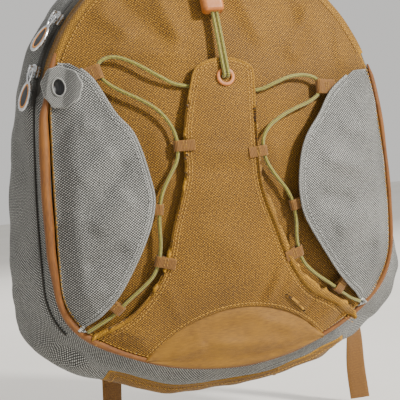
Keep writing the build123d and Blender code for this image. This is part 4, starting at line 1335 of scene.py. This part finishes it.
def shoulder_strap(name, centre_line):
    """Padded strap: crowned section, pulled in at bound edges, with two sewn channels down the front face."""
    count = 90
    half_wide = 25.2
    middle = curve_through(centre_line, count)
    near, far = curve_through(STRAP_NEAR, 200), curve_through(STRAP_FAR, 200)
    z = middle[:, 1]
    y_low = np.interp(-z, -near[:, 1], near[:, 0])
    y_high = np.interp(-z, -far[:, 1], far[:, 0])
    d = np.gradient(middle, axis=0)
    d /= np.linalg.norm(d, axis=-1)[:, None]
    side = np.stack([-d[:, 1], d[:, 0]], axis=-1)
    end = smooth_step(np.minimum(np.arange(count), np.arange(count)[::-1]) / 5.0)
    turns = np.linspace(0, 2 * math.pi, 48, endpoint=False)
    rings, edges = [], ([], [])
    for i in range(count):
        half_thick = max(1.2, (y_high[i] - y_low[i]) / 2 * (0.45 + 0.55 * end[i]))
        mid_y = (y_high[i] + y_low[i]) / 2
        c, s = np.cos(turns), np.sin(turns)
        across = half_wide * np.sign(c) * np.abs(c) ** 0.55
        thick = half_thick * np.sign(s) * np.abs(s) ** 0.85
        channel = 1 - 0.34 * np.exp(-(((np.abs(across) - 12.5) / 2.2) ** 2)) * (s > 0)
        puff = 1 + 0.05 * math.sin(i * 0.9)
        rings.append(np.stack([middle[i, 0] + side[i, 0] * across, mid_y + thick * channel * puff,
                               middle[i, 1] + side[i, 1] * across], axis=-1))
        for edge, sign in zip(edges, (-1, 1)):
            x, rim_z = middle[i] + side[i] * sign * (half_wide + 0.2)
            edge.append((x, mid_y, rim_z))
    piece = grid_piece(f"strap_{name}", np.array(rings), "strap_weave", closed_u=True, caps=True)
    put(piece, "mustard_weave", "pack", f"shoulder_strap_{name}")
    path = np.array(edges[0] + edges[1][::-1])
    path = np.vstack([path, path[:1]])
    put(tube(f"strap_{name}_binding", respaced(path, 260), 1.7, "piping_grey", 8, caps=False), "grey_weave")
    tops = np.array(rings)[4:-4]
    rows = []
    for column in (8, 16):
        line = tops[:, column]
        rows.append((respaced(line, 200) + (0, 0.25, 0), np.tile((0.0, 1.0, 0.0), (200, 1))))
    put(stitches(f"strap_{name}_stitching", rows, "thread"), "mustard_weave")


def band(name, points, across, width, thickness, *stands_for, body="pack", count=40):
    """Webbing along smooth points; `across` is one direction, or one for each end to twist between."""
    line = curve_through(points, count)
    ends = np.array(across, float).reshape(-1, 3)
    t = smooth_step(np.linspace(0, 1, count))[:, None]
    widths = ends[0] * (1 - t) + ends[-1] * t
    widths /= np.linalg.norm(widths, axis=-1)[:, None]
    put(ribbon(name, line, widths, width, thickness, "webbing_mustard"), "webbing_mustard", body, *stands_for)


def boxed_stitching(name, centre, width, height):
    """Box and cross of stitching on a patch sewn to the back."""
    c, a, d, n = (np.array(v, float) for v in (centre, X_WAY, Z_WAY, Y_WAY))
    signs = ((-1, -1), (1, -1), (1, 1), (-1, 1))
    corners = [c + a * sx * width / 2 + d * sz * height / 2 for sx, sz in signs]
    rows = []
    for p, q in ((0, 1), (1, 2), (2, 3), (3, 0), (0, 2), (1, 3)):
        line = np.linspace(corners[p], corners[q], 24)
        rows.append((line, np.tile(n, (24, 1))))
    put(stitches(name, rows, "thread", 2.8, 2.1, 0.3), "webbing_mustard")


X_WAY, Y_WAY, Z_WAY = (1, 0, 0), (0, 1, 0), (0, 0, 1)
BAND_THICK = 1.5
HAUL_ARCH = [(-23, 5.2, -47), (-23, 2.5, -34), (-23, 0, -24), (-21.5, 0, -13), (-14.5, 0, -4.6), (0, 0, 0.6),
             (14.5, 0, -4.6), (21.5, 0, -13), (23, 0, -24), (23, 2.5, -34), (23, 5.2, -47)]
# For each shoulder strap: x of its ladder lock, of its corner anchor and of its tail, its centre line in x and
# z, and the across directions its tail twists between.
STRAPS = {
    "left": (-88.0, -112.0, -88.0, [(-40, -54), (-58, -140), (-74, -225), (-84, -302)],
             ((1, 0, 0), (0.93, 0.36, 0))),
    "right": (158.0, 122.0, 162.0, [(40, -54), (72, -140), (112, -225), (150, -302)],
              ((0.45, 0.9, 0), (1, -0.1, 0))),
}


def webbing():
    """Haul loop, shoulder straps with their keepers, tails and corner anchors, and the sternum strap."""
    band("haul_band", HAUL_ARCH, Y_WAY, 19.0, 2.0, "haul_loop", count=90)
    band("haul_patch", [(-29, 5.6, -38), (0, 6.0, -38), (29, 5.6, -38)], Z_WAY, 22, 1.8)
    boxed_stitching("haul_stitching", (0, 7.0, -38), 52, 17)
    for name, (x, anchor, tail_x, strap, twist) in STRAPS.items():
        shoulder_strap(name, strap)
        keeper = [(x, 33.6, -298), (x, 33.2, -308), (x, 32.2, -316), (x, 30.6, -321.2), (x, 27.6, -320.6),
                  (x, 26.2, -314), (x, 27.0, -300)]
        band(f"keeper_{name}", keeper, X_WAY, 20, BAND_THICK, f"strap_keeper_{name}")
        tail = [(x, 26.0, -322), (x, 26.6, -330), (x + 0.5, 31.4, -334.5), (tail_x - 0.5, 33.0, -342),
                (tail_x, 32.6, -370), (tail_x + 1, 33.4, -402), (tail_x - 1.5, 31.8, -436),
                (tail_x, 32.4, -468.8)]
        band(f"tail_{name}", tail, twist, 19.6, BAND_THICK, f"webbing_tail_{name}", count=80)
        low = [(x, 26.4, -331), (x + (anchor - x) * 0.06, 23.2, -338), ((x + anchor) / 2, 17.2, -350.5),
               (anchor, 10.4, -367), (anchor - (x - anchor) * 0.1, 7.6, -374)]
        band(f"lower_band_{name}", low, X_WAY, 19.6, BAND_THICK, f"lower_webbing_{name}")
        patch = [(anchor, 5.2, -361), (anchor, 6.2, -372), (anchor, 5.2, -383)]
        band(f"anchor_{name}", patch, X_WAY, 26, 1.6, f"corner_anchor_{name}", count=12)
        boxed_stitching(f"anchor_stitching_{name}", (anchor, 7.3, -374), 20, 13)
    left_half = [(-76, 48.4, -190), (-68, 48.5, -190), (-40, 48.9, -190.6), (-14.5, 48.5, -190)]
    right_half = [(30.9, 48.5, -190), (62, 48.9, -190.7), (96, 48.5, -190), (119.5, 48.2, -190.3)]
    band("sternum_band_left", left_half, Z_WAY, 15, BAND_THICK, "sternum_webbing_left", body="sternum_strap")
    band("sternum_band_right", right_half, Z_WAY, 15, BAND_THICK, "sternum_webbing_right",
         body="buckle_tongue")


def cord_tab():
    """Webbing saddle that holds the double bungee's upper end to the front."""
    top, bend = double_cord_line()
    along = (bend - top) / np.linalg.norm(bend - top)
    centre = top - along * 6.2
    normal = dome_normals(centre[None])[0]
    normal -= along * (normal @ along)
    normal /= np.linalg.norm(normal)
    x_way = np.array([1.0, 0, 0])
    half = [(1.8, 3.2), (4.0, 1.4), (4.9, -3), (6.4, -6.8), (8, -8.2)]
    shape = curve_through([(-x, z) for x, z in half[::-1]] + half, 50)
    line = centre + shape[:, :1] * x_way + shape[:, 1:] * normal
    piece = ribbon("cord_saddle", line, np.tile(along, (50, 1)), 12.0, 1.4, "webbing_mustard")
    put(piece, "webbing_mustard", "pack", "cord_anchor")
    core = tube("cord_core", np.linspace(centre - along * 5.5, centre + along * 5.5, 8), 2.9, "bungee", 14)
    put(core, "bungee")


# ---- camera, light and floor ------------------------------------------------------------------------
CAMERA_TARGET = np.array([-30.3, -135.1, -245.5])
CAMERA_AZIMUTH, CAMERA_ELEVATION, CAMERA_ROLL = -16.0, 2.0, 6.3      # degrees
CAMERA_DISTANCE = 850.0
CAMERA_LENS = 95.625
STUDIO_MIDDLE = (0, -0.1, -0.24)
# Lights: name, place in metres, size, watts and colour.
LIGHTS = (("key", (1.0, -1.45, 0.62), 0.2, 70, (1.0, 0.97, 0.92)),
          ("fill", (-1.6, -1.3, 0.1), 1.6, 3, (0.94, 0.97, 1.0)),
          ("back", (0.5, 1.7, 0.9), 1.2, 30, (1.0, 0.98, 0.96)))
FLOOR_Z = -0.475
FLOOR_RADIUS = 6


def camera():
    """Camera a little to the left of the front, rolled as the picture is."""
    a, e, roll = (math.radians(angle) for angle in (CAMERA_AZIMUTH, CAMERA_ELEVATION, CAMERA_ROLL))
    back = np.array([math.sin(a) * math.cos(e), -math.cos(a) * math.cos(e), math.sin(e)])
    right = np.array([math.cos(a), math.sin(a), 0.0])
    up = np.cross(back, right)
    x = right * math.cos(roll) - up * math.sin(roll)
    y = right * math.sin(roll) + up * math.cos(roll)
    data = bpy.data.cameras.new("camera")
    data.sensor_width = 36.0
    data.lens = CAMERA_LENS
    data.clip_start, data.clip_end = 0.01, 100
    made = bpy.data.objects.new("camera", data)
    bpy.context.scene.collection.objects.link(made)
    place = (CAMERA_TARGET + back * CAMERA_DISTANCE) * MM
    made.matrix_world = Matrix([[x[k], y[k], back[k], place[k]] for k in range(3)] + [[0, 0, 0, 1]])
    bpy.context.scene.camera = made


def area_light(name, place, size, watts, colour):
    """Round soft light aimed at the middle of the pack."""
    data = bpy.data.lights.new(name, "AREA")
    data.shape = "DISK"
    data.size = size
    data.energy = watts
    data.color = colour
    made = bpy.data.objects.new(name, data)
    bpy.context.scene.collection.objects.link(made)
    made.location = place
    made.rotation_mode = "QUATERNION"
    made.rotation_quaternion = (Vector(STUDIO_MIDDLE) - Vector(place)).to_track_quat("-Z", "Y")


def studio():
    """Pale world, three soft lights and a plain pale floor."""
    world = bpy.data.worlds.new("studio")
    world.use_nodes = True
    world.node_tree.nodes["Background"].inputs[0].default_value = (0.9, 0.885, 0.86, 1)
    world.node_tree.nodes["Background"].inputs[1].default_value = 0.8
    bpy.context.scene.world = world
    for light in LIGHTS:
        area_light(*light)
    mesh = bpy.data.meshes.new("floor")
    angles = np.linspace(0, 2 * math.pi, 96, endpoint=False)
    ring = [(FLOOR_RADIUS * math.cos(a), FLOOR_RADIUS * math.sin(a), FLOOR_Z) for a in angles]
    mesh.from_pydata(ring, [], [tuple(range(96))])
    floor = bpy.data.objects.new("floor", mesh)
    bpy.context.scene.collection.objects.link(floor)
    s = Surface("floor", "Object")
    mottle = s.noise(0.4, 3.0)
    s.finish(s.mix(s.ramp(mottle, 0.3, 0.7), linear((222, 219, 212)), linear((230, 227, 221))), rough=0.8)
    mesh.materials.append(s.material)


cords()
hardware()
zip_hardware("upper", -52.0)
zip_hardware("lower", -70.0)
cord_tab()
back_panel()
webbing()
back_pads()
camera()
studio()
